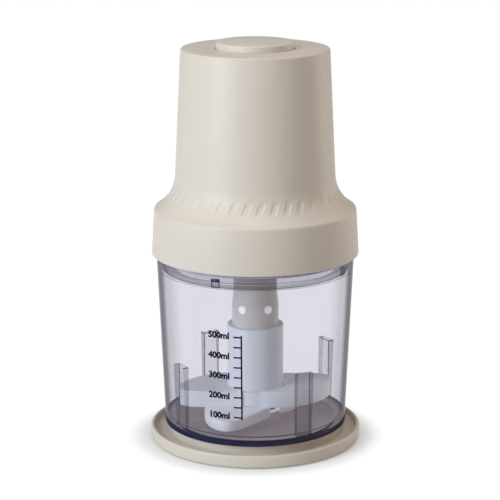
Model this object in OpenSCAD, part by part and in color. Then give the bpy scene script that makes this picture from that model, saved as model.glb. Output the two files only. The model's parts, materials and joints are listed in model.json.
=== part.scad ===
// Cordless mini food processor: stand tray, clear bowl, guarded blade set, clear lid and battery motor head.
// Millimetres, +Z up, front towards -Y, origin on the axis at the underside of the stand.

/* [Stand] */
// Outer radius of the tray
tray_r = 61.4; // [60:0.2:75]
// Height of the tray's lip
tray_h = 7.8; // [6:0.2:9.4]
// Wall of the tray
tray_wall = 2.2; // [1.6:0.1:3]
// Height at which the bowl stands
seat_h = 10.2; // [9.6:0.2:16]

/* [Bowl] */
// Outer radius of the bowl at its foot
bowl_foot_r = 53.2; // [48:0.2:56]
// Outer radius of the bowl at its rim
bowl_rim_r = 57; // [54:0.2:66]
// Height of the bowl from foot to rim
bowl_h = 106.8; // [88:0.2:140]
// Wall of the bowl
bowl_wall = 2.4; // [1.8:0.1:2.8]
// Thickness of the bowl's floor
bowl_floor = 2.2; // [1.6:0.1:4]
// Height of the four ribs above the floor
rib_h = 36.7; // [10:0.1:60]
// Width of a rib
rib_w = 10.5; // [4:0.5:14]
// Radius inside the ribs
rib_clear_r = 48.8; // [45.6:0.2:49]
// Radius of the steel pin that the blade turns on
pin_r = 3; // [2:0.1:4]

/* [Blade set] */
// Sweep radius of the blade guards
guard_r = 45.6; // [36:0.2:46]
// Thickness of the steel blades
blade_t = 1.2; // [0.8:0.1:1.6]
// Outer radius of the lower hub tube
hub_r = 16.4; // [15.6:0.2:19]
// Height of the hub tube's top above the bowl's floor
hub_top = 54.1; // [40:0.1:60]
// Outer radius of the neck sleeve
neck_r = 13.6; // [12.8:0.1:14.2]
// Outer radius of the drive tube
stem_r = 11; // [10:0.1:11.6]

/* [Lid] */
// Wall of the lid
lid_wall = 1.8; // [1.4:0.1:2.2]
// Depth of the lid's skirt in the bowl
skirt_h = 14; // [9:0.5:20]
// Thickness of the lid's flange
flange_t = 2; // [1.4:0.1:3]

/* [Motor head] */
// Outer radius at the collar's lower edge
collar_r = 59.9; // [59.6:0.1:72]
// How far the collar reaches below the bowl's rim
collar_drop = 5.3; // [3:0.1:8]
// Height from the collar's lower edge to the shoulder
collar_h = 26.3; // [22:0.1:34]
// How much the collar narrows on the way up
collar_taper = 1.6; // [1:0.05:2.2]
// Rise of the shoulder
shoulder_h = 7.3; // [4:0.05:10]
// Rounding of the shoulder's edge
shoulder_round = 2.4; // [1:0.1:4]
// Rounding where the shoulder meets the motor housing
waist_round = 23; // [8:0.5:26]
// Outer radius at the foot of the motor housing
body_r = 46.65; // [44.6:0.05:50]
// Outer radius at the top of the motor housing
body_top_r = 42.45; // [42:0.05:46]
// Wall of the head's shell
shell_wall = 2; // [1.6:0.1:2.4]
// Number of slanted flutes round the shoulder
flutes = 40; // [12:1:48]
// Width of a flute
flute_w = 3; // [1.5:0.1:4]

/* [Button] */
// Radius of the push button
button_r = 22.4; // [16:0.2:26]
// Height of the button above the head
button_rise = 3.9; // [3:0.1:6]
// Travel of the button
button_travel = 3; // [2:0.1:3]

/* [Drive] */
// Module of the gear teeth
gear_m = 0.8; // [0.75:0.01:0.85]
// Teeth of the sun gear
sun_teeth = 12; // [12:3:12]
// Teeth of each planet gear
planet_teeth = 15; // [15:3:15]
// Width of the gears
gear_w = 7; // [5:0.5:8]
// Radius of the motor's can
motor_r = 17.9; // [16:0.1:18.4]
// Length of the motor's can
motor_h = 50; // [44:0.5:54]
// Radius of the output shaft
output_r = 4; // [3:0.1:4.4]
// Corner radius of the hexagonal coupling
coupling_r = 6.8; // [6:0.1:7.4]

/* [Battery] */
// Radius of a battery cell
cell_r = 9.2; // [7:0.1:9.4]
// Length of a battery cell
cell_h = 65; // [60:0.5:67]
// Distance of each cell from the axis
cell_x = 28.6; // [28.2:0.1:29.6]

/* [Hidden] */

$fn = 96;
cut = 0.5;                 // how far a cutter runs past a face
fit = 0.05;                // running clearance of shafts and pins
slack = 0.4;               // clearance between loose neighbours

// Stand
tray_base_z = 0.6;
tray_floor_z = 4.6;
foot_mid_r = tray_r - 7.4;
foot_w = 5;
foot_h = tray_floor_z - tray_wall;
seat_r = bowl_foot_r - 2.8;
boss_rise = 1.2;

// Bowl
foot_ring_w = 6.4;
recess_h = 1.7;
floor_z = seat_h + recess_h + bowl_floor;
rim_z = seat_h + bowl_h;
bowl_straight = 7.1;       // height over which the bowl's foot is a plain cylinder
bowl_rim_band = 11.8;      // height of the plain band below the rim
pin_boss_r = 6.5;
pin_boss_h = 2.5;
pin_boss_z = floor_z + pin_boss_h;
pin_top_z = floor_z + 48.4;
pin_sink = 1.5;            // how deep the pin is moulded into the floor
lug_w = 5;
lug_d = 1.1;
lug_h = 5;
lug_angles = [-12, 78, 168, 258];

// Lid
lid_r = bowl_rim_r - bowl_wall - slack;
lid_inner_r = lid_r - lid_wall;
lid_base_z = rim_z - skirt_h;
lid_top_z = rim_z + flange_t;
lid_plate_t = 2;
flange_r = bowl_rim_r - 0.2;
neck_top_r = neck_r - 0.9;
lid_hole_r = neck_top_r + 0.6;
seal_z = rim_z - 8;
seal_h = 3;
seal_sink = 0.9;
seal_gap = 0.25;
key_w = 6;
key_h = 3;
key_d = 2;
key_angles = [30, 150, 270];

// Blade set, from the bowl's floor up
stem_z = pin_boss_z + 0.2;
stem_flange_t = 2;
stem_flange_r = stem_r + 4.5;
lower_blade_z = stem_z + stem_flange_t;
spacer_h = 6;
upper_blade_z = lower_blade_z + blade_t + spacer_h;
hub_z = upper_blade_z + blade_t;
hub_floor_t = 4.6;
hub_wall = 1.5;
hub_foot_r = hub_r + 1.8;
hub_foot_h = 4;
hub_top_z = floor_z + hub_top;
stem_top_z = lid_top_z - 1;
bush_h = 8;
stem_bore_r = pin_r + 3;
stem_bore_top = pin_top_z + 2;
neck_step_z = floor_z + 66.5;
neck_cone_h = 8;
boss_z = floor_z + 65.1;
boss_r = 2.35;
boss_angles = [-111.5, -44.5, 68.5, 135.5];
upper_angle = 12;
lower_angle = -117;
guard_x = 11;              // centre of the arc that the leading edge follows
guard_y = 16;
guard_arc_r = 35;
guard_back_y = 17.4;
blade_inset = 3.2;         // how far the steel stays inside its guard
guard_play = 0.3;
lower_guard_z = stem_z - 1.3;
lower_guard_h = 6.5;
upper_guard_z = lower_guard_z + lower_guard_h + 0.4;
upper_guard_h = 9.6;

// Coupling and gearbox, from the lid up
hex_play = 0.2;
coupling_h = 11;
coupling_z = lid_top_z - 0.6 - coupling_h;
socket_z = coupling_z - 1;
cover_z = lid_top_z;
cover_t = 2.4;
gasket_t = 1;
gearbox_z = cover_z + cover_t + gasket_t;
gearbox_floor_t = 3;
bush_len = 5;
carrier_z = gearbox_z + bush_len + 0.3;
carrier_t = 2.5;
gear_z = carrier_z + carrier_t + 0.3;
ring_z = gearbox_z + 7;
ring_top_z = gear_z + gear_w + 1;
ring_teeth = sun_teeth + 2 * planet_teeth;
centre_r = gear_m * (sun_teeth + planet_teeth) / 2;
gearbox_r = gear_m * ring_teeth / 2 + 2.4;
ear_r = 4;
ear_x = gearbox_r + 3;
ear_angles = [90, 210, 330];
planet_pin_r = 1.5;
backlash = 0.14;           // thinning of each tooth
pressure_angle = 24;

// Motor
chassis_t = 3;
chassis_top_z = ring_top_z + chassis_t;
motor_z = chassis_top_z;
motor_wall = 1.2;
motor_top_z = motor_z + motor_h;
motor_cap_h = 4.5;
shaft_r = 1.6;
motor_boss_r = 6.5;
motor_boss_h = 2.6;
motor_bush_r = 3;
rotor_r = motor_r - 4.3;
rotor_z = motor_z + 11.5;
rotor_h = 26;
winding_h = 4.5;
poles = 5;
slot_w = 5;
slot_in = 5.4;
slot_out = 11.4;
comm_r = 4.2;
comm_z = rotor_z + rotor_h + winding_h + 1;
comm_h = 6;
motor_screw_x = motor_boss_r + 2.9;

// Battery and frame
cell_z = chassis_top_z + 0.3;
cell_top_z = cell_z + cell_h;
contact_t = 0.3;
cup_wall = 1.6;
cup_h = 8;
frame_z = cell_top_z + contact_t;
frame_t = 2;
frame_r = body_top_r - shell_wall - 2;
post_r = 3;
post_x = 13;
post_y = 31;

// Head shell
collar_z = rim_z - collar_drop;
collar_wall = 1.8;
shoulder_z = collar_z + collar_h;
shoulder_r = collar_r - collar_taper;
body_z = shoulder_z + shoulder_h;
board_z = frame_z + frame_t;
board_t = 1.6;
switch_z = board_z + board_t;
switch_h = 5;
lever_t = 0.4;
lever_z = switch_z + switch_h + 0.4;
lever_x = -11;             // hinge of the switch's lever
lever_len = 11.4;
stem_tip_z = lever_z + lever_t + 0.45 + button_travel;
seat_plate_z = stem_tip_z + 0.6;
seat_plate_t = 1.6;
seat_top_z = seat_plate_z + seat_plate_t;
button_flange_t = 2;
top_t = 2.2;
head_top_z = seat_top_z + button_travel + 0.4 + button_flange_t + 0.3 + top_t;
button_gap = 0.45;
button_top_z = head_top_z + button_rise;
button_flange_r = button_r + 2.2;
guide_r = button_flange_r + 0.6;
guide_wall = 1.8;
seat_screw_x = guide_r + 2.8;
seat_screw_angles = [60, 180, 300];
button_stem_r = 3;
button_wall = 2;
spring_r = 7;
wire_r = 0.5;
spring_turns = 4;

// Cover screws
boss_out = 53.2;           // radius of the screw bosses inside the collar
screw_boss_r = 3.9;
screw_boss_h = 14;
cover_screw_angles = [0, 120, 240];
cover_r = collar_r - collar_wall - 1;
base_screw_x = 13;

// Charging port, at the back
port_z = body_z + 19.85;
port_depth = 5;
port_w = 16;
port_h = 11;
flap_t = 1.6;
flap_gap = 0.3;
port_face_y = body_r - (body_r - body_top_r) * (port_z - body_z) / (head_top_z - body_z) - 2.4;
lens_x = 12;

// Corners of the head's profile, and the waist's arc as far as the shoulder has room for it
shoulder_edge = [shoulder_r, shoulder_z];
body_foot = [body_r, body_z];
body_top = [body_top_r, head_top_z];
edge_reach = shoulder_round / tan(half_angle([collar_r, collar_z], shoulder_edge, body_foot));
waist_curve = min(waist_round, largest_round(shoulder_edge, body_foot, body_top, edge_reach));

// Profile helpers: a corner b between a and c rounded by an arc of radius r
function unit(v) = v / norm(v);
function arc(centre, r, from, turn, n) = [for (i = [0:n]) centre + r * [cos(from + turn * i / n), sin(from + turn * i / n)]];
function short_turn(a) = a > 180 ? a - 360 : a < -180 ? a + 360 : a;
function half_angle(a, b, c) = acos(unit(a - b) * unit(c - b)) / 2;

// Largest rounding of a corner whose first side keeps a spare length
function largest_round(a, b, c, spare) = (norm(a - b) - spare) * tan(half_angle(a, b, c));

function fillet(a, b, c, r, n = 6) =
    let (u = unit(a - b), w = unit(c - b), half = half_angle(a, b, c),
         centre = b + unit(u + w) * r / sin(half),
         from = b + u * r / tan(half) - centre, to = b + w * r / tan(half) - centre,
         start = atan2(from.y, from.x))
    arc(centre, r, start, short_turn(atan2(to.y, to.x) - start), n);

module tube(r_out, r_in, h) {
    difference() {
        cylinder(r = r_out, h = h);
        translate([0, 0, -cut]) cylinder(r = r_in, h = h + 2 * cut);
    }
}

module around(angles, x) {
    for (a = angles) rotate(a) translate([x, 0, 0]) children();
}

// A machine screw with its head's underside at z = 0 and its shank below
module screw(r, length, head_r = 2.6, head_h = 1.4) {
    translate([0, 0, -length]) cylinder(r = r, h = length);
    difference() {
        cylinder(r = head_r, h = head_h);
        translate([0, 0, head_h / 2]) cylinder(r = head_r / 2, h = head_h, $fn = 6);
    }
}

// Stand ------------------------------------------------------------------------------------------
module base_tray() {
    edge = 0.9;
    top = [tray_r, tray_h];
    color([0.87, 0.83, 0.78]) {
        difference() {
            rotate_extrude() polygon(concat(
                [[0, tray_base_z], [tray_r - 1, tray_base_z], [tray_r, tray_base_z + 1]],
                fillet([tray_r, 0], top, [0, tray_h], edge, 4),
                fillet([tray_r, tray_h], [tray_r - tray_wall, tray_h], [tray_r - tray_wall, 0], edge, 4),
                [[tray_r - tray_wall, tray_floor_z], [seat_r, tray_floor_z], [seat_r, seat_h],
                 [bowl_foot_r - foot_ring_w - slack, seat_h],
                 [bowl_foot_r - foot_ring_w - slack, seat_h + boss_rise], [0, seat_h + boss_rise]]));
            translate([0, 0, tray_base_z - cut])
                tube(tray_r - tray_wall, seat_r - tray_wall, foot_h - tray_base_z + cut);
            translate([0, 0, tray_base_z - cut]) cylinder(r = seat_r - tray_wall, h = seat_h - tray_wall - tray_base_z + cut);
        }
    }
}

module foot_ring() {
    color([0.2, 0.2, 0.21]) rotate_extrude() translate([foot_mid_r, 0])
        polygon([[-foot_w / 2 + 0.6, 0], [foot_w / 2 - 0.6, 0], [foot_w / 2, 0.6], [foot_w / 2, foot_h],
                 [-foot_w / 2, foot_h], [-foot_w / 2, 0.6]]);
}

// Bowl -------------------------------------------------------------------------------------------
module bowl() {
    band_z = rim_z - bowl_rim_band;
    low_z = seat_h + bowl_straight;
    in_foot_r = bowl_foot_r - bowl_wall;
    in_rim_r = bowl_rim_r - bowl_wall;
    color([0.8, 0.8, 0.9, 0.35]) difference() {
        union() {
            rotate_extrude() polygon(concat(
                [[0, floor_z - bowl_floor], [bowl_foot_r - foot_ring_w, floor_z - bowl_floor],
                 [bowl_foot_r - foot_ring_w, seat_h]],
                fillet([0, seat_h], [bowl_foot_r, seat_h], [bowl_foot_r, low_z], 0.8, 4),
                [[bowl_foot_r, low_z], [bowl_rim_r, band_z]],
                fillet([bowl_rim_r, band_z], [bowl_rim_r, rim_z], [0, rim_z], 0.6, 4),
                [[in_rim_r, rim_z], [in_rim_r, band_z], [in_foot_r, low_z]],
                fillet([in_foot_r, low_z], [in_foot_r, floor_z], [0, floor_z], 2.5, 5),
                [[0, floor_z]]));
            intersection() {
                for (a = [45:90:315]) rotate(a) translate([rib_clear_r, -rib_w / 2, floor_z - 0.3])
                    cube([bowl_rim_r, rib_w, rib_h + 0.3]);
                rotate_extrude() polygon([[0, floor_z - 0.3], [in_foot_r + 0.4, floor_z - 0.3],
                    [in_foot_r + 0.4, low_z], [in_rim_r + 0.4, band_z], [0, band_z]]);
            }
            translate([0, 0, floor_z - 0.3]) cylinder(r1 = pin_boss_r + 1, r2 = pin_boss_r, h = pin_boss_h + 0.3);
        }
        translate([0, 0, floor_z - pin_sink]) cylinder(r = pin_r, h = pin_sink + pin_boss_h + cut);
        around(lug_angles, 0) translate([in_rim_r - cut, -lug_w / 2 - slack, rim_z - skirt_h - slack])
            cube([cut + lug_d + 0.1, lug_w + 2 * slack, skirt_h + slack + cut]);
    }
}

module bowl_pin() {
    color([0.75, 0.76, 0.78]) rotate_extrude() polygon(concat(
        [[0, floor_z - pin_sink], [pin_r, floor_z - pin_sink]],
        fillet([pin_r, 0], [pin_r, pin_top_z], [0, pin_top_z], pin_r * 0.8, 6), [[0, pin_top_z]]));
}

// Blade set --------------------------------------------------------------------------------------
module drive_tube() {
    color([0.93, 0.93, 0.95]) difference() {
        union() {
            translate([0, 0, stem_z]) cylinder(r = stem_flange_r, h = stem_flange_t);
            translate([0, 0, stem_z]) cylinder(r = stem_r, h = stem_top_z - stem_z);
            around(boss_angles, 0) translate([stem_r - 1, 0, boss_z]) rotate([0, 90, 0])
                cylinder(r = boss_r, h = neck_r - stem_r + 1.3);
        }
        translate([0, 0, stem_z - cut]) cylinder(r = stem_bore_r, h = stem_bore_top - stem_z + cut);
        translate([0, 0, stem_bore_top + 4]) cylinder(r = 5, h = stem_top_z);
        translate([0, 0, socket_z]) cylinder(r = coupling_r + hex_play, h = stem_top_z, $fn = 6);
    }
}

module stem_bushes() {
    color([0.72, 0.55, 0.3]) for (z = [stem_z, stem_bore_top - bush_h - 3]) translate([0, 0, z])
        tube(stem_bore_r, pin_r + fit, bush_h);
}

module neck_sleeve() {
    bottom = hub_z + hub_floor_t;
    color([0.7, 0.7, 0.73, 0.8]) difference() {
        rotate_extrude() polygon([[stem_r, bottom], [neck_r, bottom], [neck_r, neck_step_z],
            [neck_top_r, neck_step_z + neck_cone_h], [neck_top_r, stem_top_z - 0.5], [neck_top_r - 0.5, stem_top_z],
            [stem_r, stem_top_z]]);
        around(boss_angles, 0) translate([stem_r - cut, 0, boss_z]) rotate([0, 90, 0])
            cylinder(r = boss_r + fit, h = neck_r - stem_r + 2 * cut);
    }
}

module blade_hub() {
    floor_top = hub_z + hub_floor_t;
    color([0.9, 0.91, 0.96]) difference() {
        rotate_extrude() polygon([[stem_r, hub_z], [hub_foot_r - 0.8, hub_z], [hub_foot_r, hub_z + 0.8],
            [hub_foot_r, hub_z + hub_foot_h - 0.6], [hub_r, hub_z + hub_foot_h + 0.8],
            [hub_r, hub_top_z - 0.3], [hub_r - 0.3, hub_top_z], [neck_r + slack, hub_top_z],
            [neck_r + slack, hub_top_z - hub_wall], [hub_r - hub_wall, hub_top_z - hub_wall],
            [hub_r - hub_wall, floor_top], [stem_r, floor_top]]);
        for (a = [0, 180]) rotate(a) translate([hub_r - hub_wall, -2.2, hub_z + hub_foot_h - 0.8])
            cube([hub_wall + 3, 4.4, 3.2]);
    }
    color([0.9, 0.91, 0.96]) hub_skirt();
}

// Closes the gap under the hub's foot between the two upper guards
module hub_skirt() {
    play_angle = 1.5;
    difference() {
        translate([0, 0, upper_guard_z]) tube(hub_foot_r - 0.4, stem_flange_r + slack, hub_z - upper_guard_z + 0.6);
        for (a = [0, 180], play = [-play_angle, play_angle]) rotate(upper_angle + a + play)
            translate([0, 0, upper_guard_z - cut]) linear_extrude(height = hub_z - upper_guard_z + cut) wing(-slack);
    }
}

module blade_spacer() {
    color([0.9, 0.91, 0.96]) translate([0, 0, lower_blade_z + blade_t]) tube(stem_flange_r, stem_r, spacer_h);
}

// One curved wing in plan, its leading edge an arc and its trailing edge straight
module wing(inset) {
    intersection() {
        circle(r = guard_r - inset);
        translate([guard_x, guard_y]) circle(r = guard_arc_r - inset);
        translate([0, -guard_r]) square([guard_r * 2, guard_r + guard_back_y - inset]);
    }
}

module blade(z, angle) {
    color([0.78, 0.79, 0.81]) translate([0, 0, z]) rotate(angle) difference() {
        union() {
            cylinder(r = stem_flange_r, h = blade_t);
            for (a = [0, 180]) rotate(a) linear_extrude(height = blade_t) wing(blade_inset);
        }
        translate([0, 0, -cut]) cylinder(r = stem_r, h = blade_t + 2 * cut);
    }
}
module lower_blade() { blade(lower_blade_z, lower_angle); }
module upper_blade() { blade(upper_blade_z, upper_angle); }

module guards(z, h, blade_z, angle, step_z) {
    color([0.9, 0.91, 0.96]) rotate(angle) for (a = [0, 180]) rotate(a) difference() {
        translate([0, 0, z]) linear_extrude(height = h) wing(0);
        translate([0, 0, z - cut]) cylinder(r = stem_flange_r + slack, h = h + 2 * cut);
        translate([0, 0, step_z]) cylinder(r = hub_foot_r + slack, h = h);
        translate([0, 0, blade_z - guard_play]) linear_extrude(height = blade_t + 2 * guard_play)
            wing(blade_inset - guard_play);
    }
}
module lower_guards() { guards(lower_guard_z, lower_guard_h, lower_blade_z, lower_angle, upper_guard_z); }
module upper_guards() { guards(upper_guard_z, upper_guard_h, upper_blade_z, upper_angle, hub_z - slack); }

// Lid --------------------------------------------------------------------------------------------
module bowl_lid() {
    plate_top = lid_base_z + lid_plate_t;
    color([0.8, 0.8, 0.9, 0.35]) {
        difference() {
            rotate_extrude() polygon([[lid_hole_r, lid_base_z], [lid_r - 0.4, lid_base_z], [lid_r, lid_base_z + 0.4],
                [lid_r, seal_z], [lid_r - seal_sink, seal_z], [lid_r - seal_sink, seal_z + seal_h], [lid_r, seal_z + seal_h],
                [lid_r, rim_z], [flange_r, rim_z], [flange_r, lid_top_z], [lid_inner_r, lid_top_z],
                [lid_inner_r, plate_top], [lid_hole_r + 1.8, plate_top], [lid_hole_r + 1.8, rim_z - 2], [lid_hole_r, rim_z - 2]]);
            around(cover_screw_angles, boss_out) translate([0, 0, rim_z]) cylinder(r = 3.4, h = flange_t + cut);
        }
        around(lug_angles, 0) translate([lid_r - 0.3, -lug_w / 2, lid_base_z])
            cube([lug_d + slack - 0.2, lug_w, lug_h]);
        around(key_angles, 0) for (y = [-1, 1])
            translate([lid_inner_r - key_d, y * (key_w / 2 + slack + 1) - 1, rim_z - key_h - 2])
                cube([key_d + 0.3, 2, key_h + 2]);
    }
}

module lid_seal() {
    out = bowl_rim_r - bowl_wall - seal_gap;
    root = lid_r - seal_sink;
    color([0.45, 0.44, 0.5]) rotate_extrude() polygon([[root, seal_z], [out, seal_z + 0.2], [out, seal_z + 0.7],
        [out - 0.5, seal_z + 1.1], [out - 0.5, seal_z + 1.9], [out, seal_z + 2.3], [out, seal_z + 2.8], [root, seal_z + seal_h]]);
}

// Motor head: covers -----------------------------------------------------------------------------
module head_shell() {
    inner_edge = shoulder_edge - [shell_wall, 1.3];
    inner_foot = body_foot - [shell_wall, 0.9];
    inner_top = body_top - [shell_wall, top_t];
    inner_curve = min(waist_curve + shell_wall, largest_round(inner_edge, inner_foot, inner_top, 0.2));
    color([0.87, 0.84, 0.8]) difference() {
        union() {
            difference() {
                rotate_extrude() polygon(concat(
                    [[collar_r, collar_z]],
                    fillet([collar_r, collar_z], shoulder_edge, body_foot, shoulder_round),
                    fillet(shoulder_edge, body_foot, body_top, waist_curve, 12),
                    fillet(body_foot, body_top, [0, head_top_z], 1, 4),
                    [[button_r + button_gap, head_top_z], [button_r + button_gap, head_top_z - top_t], inner_top],
                    fillet(inner_top, inner_foot, inner_edge, inner_curve, 12),
                    [inner_edge, [collar_r - collar_wall, collar_z]]));
                flute_cuts();
            }
            translate([0, 0, seat_top_z]) tube(guide_r + guide_wall, guide_r, head_top_z - top_t - seat_top_z + 0.2);
            around(seat_screw_angles, seat_screw_x) translate([0, 0, seat_top_z])
                cylinder(r = 2.6, h = head_top_z - top_t - seat_top_z + 0.2);
            around(cover_screw_angles, boss_out) translate([0, 0, cover_z + cover_t])
                cylinder(r = screw_boss_r, h = screw_boss_h);
            intersection() {
                translate([-port_w / 2 - 2, port_face_y - port_depth, port_z - port_h / 2 - 2])
                    cube([lens_x + port_w / 2 + 5, port_depth + 8, port_h + 4]);
                rotate_extrude() polygon([[0, body_z], [body_r - 0.8, body_z], [body_top_r - 0.8, head_top_z], [0, head_top_z]]);
            }
        }
        translate([0, 0, seat_top_z - cut]) cylinder(r = guide_r, h = head_top_z - top_t - seat_top_z + cut);
        around(seat_screw_angles, seat_screw_x) translate([0, 0, seat_top_z - cut]) cylinder(r = 1, h = 4.2 + cut);
        around(cover_screw_angles, boss_out) translate([0, 0, cover_z + cover_t - cut]) cylinder(r = 1.3, h = 8 + cut);
        translate([-port_w / 2, port_face_y, port_z - port_h / 2]) cube([port_w, 20, port_h]);
        translate([-4.7, port_face_y - port_depth - cut, port_z - 1.8]) cube([9.4, 20, 3.6]);
        translate([lens_x, port_face_y - port_depth - cut, port_z]) rotate([-90, 0, 0]) cylinder(r = 1.25, h = 20);
    }
}

// Shallow slanted flutes that follow the shoulder and its fillet
module flute_cuts() {
    depth = 0.45;
    tilt = 23.5;
    mid_r = (shoulder_r + body_r) / 2;
    low_z = shoulder_z + 5;
    length = body_z + 6 - low_z;
    sunk = [depth, depth * 0.6];
    intersection() {
        rotate_extrude() polygon(concat(
            [shoulder_edge - sunk],
            fillet(shoulder_edge - sunk, body_foot - sunk, body_top - sunk, waist_curve, 12),
            [[body_r + 14, body_z + 14], [collar_r + 2, shoulder_z - 6]]));
        for (i = [0:flutes - 1]) rotate((i + 0.5) * 360 / flutes)
            translate([mid_r, 0, low_z + length / 2]) rotate([-tilt, 0, 0])
                cube([18, flute_w, length / cos(tilt)], center = true);
    }
}

module bottom_cover() {
    color([0.82, 0.8, 0.77]) difference() {
        union() {
            translate([0, 0, cover_z]) cylinder(r = cover_r, h = cover_t);
            around(key_angles, 0) translate([lid_inner_r - key_d + 0.2, -key_w / 2, cover_z - key_h - flange_t])
                cube([key_d - 0.2 - slack, key_w, key_h + flange_t + 0.2]);
        }
        translate([0, 0, cover_z - cut]) cylinder(r = 9, h = cover_t + 2 * cut);
        around(cover_screw_angles, boss_out) {
            translate([0, 0, cover_z - cut]) cylinder(r = 1.4, h = cover_t + 2 * cut);
            translate([0, 0, cover_z - cut]) cylinder(r = 2.8, h = 1.5 + cut);
        }
        around([0, 120, 240], base_screw_x) {
            translate([0, 0, cover_z - cut]) cylinder(r = 1.35, h = cover_t + 2 * cut);
            translate([0, 0, cover_z - cut]) cylinder(r = 2.4, h = 1.3 + cut);
        }
    }
}

module cover_screws() {
    color([0.6, 0.6, 0.62]) {
        around(cover_screw_angles, boss_out) translate([0, 0, cover_z + 1.5]) rotate([180, 0, 0]) screw(1.3, 8);
        around([0, 120, 240], base_screw_x) translate([0, 0, cover_z + 1.3]) rotate([180, 0, 0])
            screw(1.25, 5, 2.2, 1.2);
    }
}

module shaft_seal() {
    color([0.15, 0.15, 0.16]) translate([0, 0, cover_z + 0.2]) tube(9, output_r + 0.2, cover_t - 0.2);
}

// Gearbox ----------------------------------------------------------------------------------------
module ears(h) {
    for (a = ear_angles) rotate(a) {
        translate([ear_x, 0, 0]) cylinder(r = ear_r, h = h);
        translate([gearbox_r - 2, -ear_r, 0]) cube([ear_x - gearbox_r + 2, 2 * ear_r, h]);
    }
}
module ear_bores(r, z, h) {
    around(ear_angles, ear_x) translate([0, 0, z]) cylinder(r = r, h = h);
}

module gearbox_gasket() {
    color([0.15, 0.15, 0.16]) translate([0, 0, cover_z + cover_t]) tube(gearbox_r, gearbox_r - 3, gasket_t);
}

module gearbox_base() {
    h = ring_z - gearbox_z;
    color([0.3, 0.31, 0.33]) translate([0, 0, gearbox_z]) difference() {
        union() {
            difference() {
                union() { cylinder(r = gearbox_r, h = h); ears(h); }
                translate([0, 0, gearbox_floor_t]) cylinder(r = gearbox_r - 1.8, h = h);
            }
            cylinder(r = 8.4, h = bush_len);
            around([0, 120, 240], base_screw_x) translate([0, 0, -gasket_t]) cylinder(r = 2.8, h = gasket_t + 0.2);
        }
        translate([0, 0, -cut]) cylinder(r = 6, h = bush_len + 2 * cut);
        ear_bores(1.3, 1, h);
        around([0, 120, 240], base_screw_x) translate([0, 0, -gasket_t - cut]) cylinder(r = 1.25, h = gasket_t + cut + 3);
    }
}

module output_bush() {
    color([0.72, 0.55, 0.3]) translate([0, 0, gearbox_z]) tube(6, output_r + fit, bush_len);
}

// Tooth half-angles at a radius, for a straight-flanked tooth thinned by the backlash
function half_tooth(teeth, r, grow) = let (pitch = gear_m * teeth / 2)
    90 / teeth - (backlash / 2 + grow * (r - pitch) * tan(pressure_angle)) / r * 180 / PI;

module gear_outline(teeth) {
    pitch = gear_m * teeth / 2;
    tip = pitch + 0.8 * gear_m;
    root = pitch - 1.1 * gear_m;
    polygon([for (i = [0:teeth - 1]) for (p = [[root, -1], [tip, -1], [tip, 1], [root, 1]])
        let (a = i * 360 / teeth + p[1] * half_tooth(teeth, p[0], 1)) p[0] * [cos(a), sin(a)]]);
}

// The space inside the ring gear: its gaps stand at the planets' teeth
module ring_gap_outline() {
    pitch = gear_m * ring_teeth / 2;
    tip = pitch - 0.7 * gear_m;
    root = pitch + 1.15 * gear_m;
    polygon([for (i = [0:ring_teeth - 1]) for (p = [[tip, -1], [root, -1], [root, 1], [tip, 1]])
        let (a = i * 360 / ring_teeth + p[1] * (180 / ring_teeth - half_tooth(ring_teeth, p[0], -1))) p[0] * [cos(a), sin(a)]]);
}

module ring_gear() {
    h = ring_top_z - ring_z;
    color([0.9, 0.88, 0.82]) translate([0, 0, ring_z]) difference() {
        union() { cylinder(r = gearbox_r, h = h); ears(h); }
        translate([0, 0, -cut]) linear_extrude(height = h + 2 * cut) ring_gap_outline();
        ear_bores(1.6, -cut, h + 2 * cut);
    }
}

module gearbox_screws() {
    color([0.6, 0.6, 0.62]) around(ear_angles, ear_x) translate([0, 0, chassis_top_z])
        screw(1.3, chassis_top_z - gearbox_z - 2, 2.4, 1.4);
}

module sun_gear() {
    color([0.75, 0.68, 0.45]) translate([0, 0, gear_z]) difference() {
        linear_extrude(height = gear_w + 0.6) gear_outline(sun_teeth);
        translate([0, 0, -cut]) cylinder(r = shaft_r, h = gear_w + 2);
    }
}

module planet(k) {
    color([0.93, 0.91, 0.85]) rotate(k * 120) translate([centre_r, 0, gear_z]) difference() {
        linear_extrude(height = gear_w) rotate(180 + 180 / planet_teeth) gear_outline(planet_teeth);
        translate([0, 0, -cut]) cylinder(r = planet_pin_r + fit, h = gear_w + 2 * cut);
    }
}
module planet_gear_1() { planet(0); }
module planet_gear_2() { planet(1); }
module planet_gear_3() { planet(2); }

module planet_carrier() {
    color([0.55, 0.56, 0.58]) translate([0, 0, carrier_z]) difference() {
        cylinder(r = centre_r + 3.8, h = carrier_t);
        translate([0, 0, -cut]) cylinder(r = output_r, h = carrier_t + 2 * cut);
        around([0, 120, 240], centre_r) translate([0, 0, -cut]) cylinder(r = planet_pin_r, h = carrier_t + 2 * cut);
    }
}

module planet_pins() {
    color([0.75, 0.76, 0.78]) around([0, 120, 240], centre_r) translate([0, 0, carrier_z])
        cylinder(r = planet_pin_r, h = carrier_t + gear_w + 0.8);
}

module output_shaft() {
    bottom = coupling_z + 2.6;
    color([0.75, 0.76, 0.78]) difference() {
        translate([0, 0, bottom]) cylinder(r = output_r, h = carrier_z + carrier_t - bottom);
        translate([0, 0, bottom - cut]) cylinder(r = 1.25, h = 6 + cut);
    }
}

module drive_coupling() {
    color([0.88, 0.88, 0.9]) translate([0, 0, coupling_z]) difference() {
        cylinder(r = coupling_r, h = coupling_h, $fn = 6);
        translate([0, 0, 2.6]) cylinder(r = output_r, h = coupling_h);
        translate([0, 0, -cut]) cylinder(r = 1.25, h = 4);
        translate([0, 0, -cut]) cylinder(r = 2.6, h = 1.4 + cut);
    }
}

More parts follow.
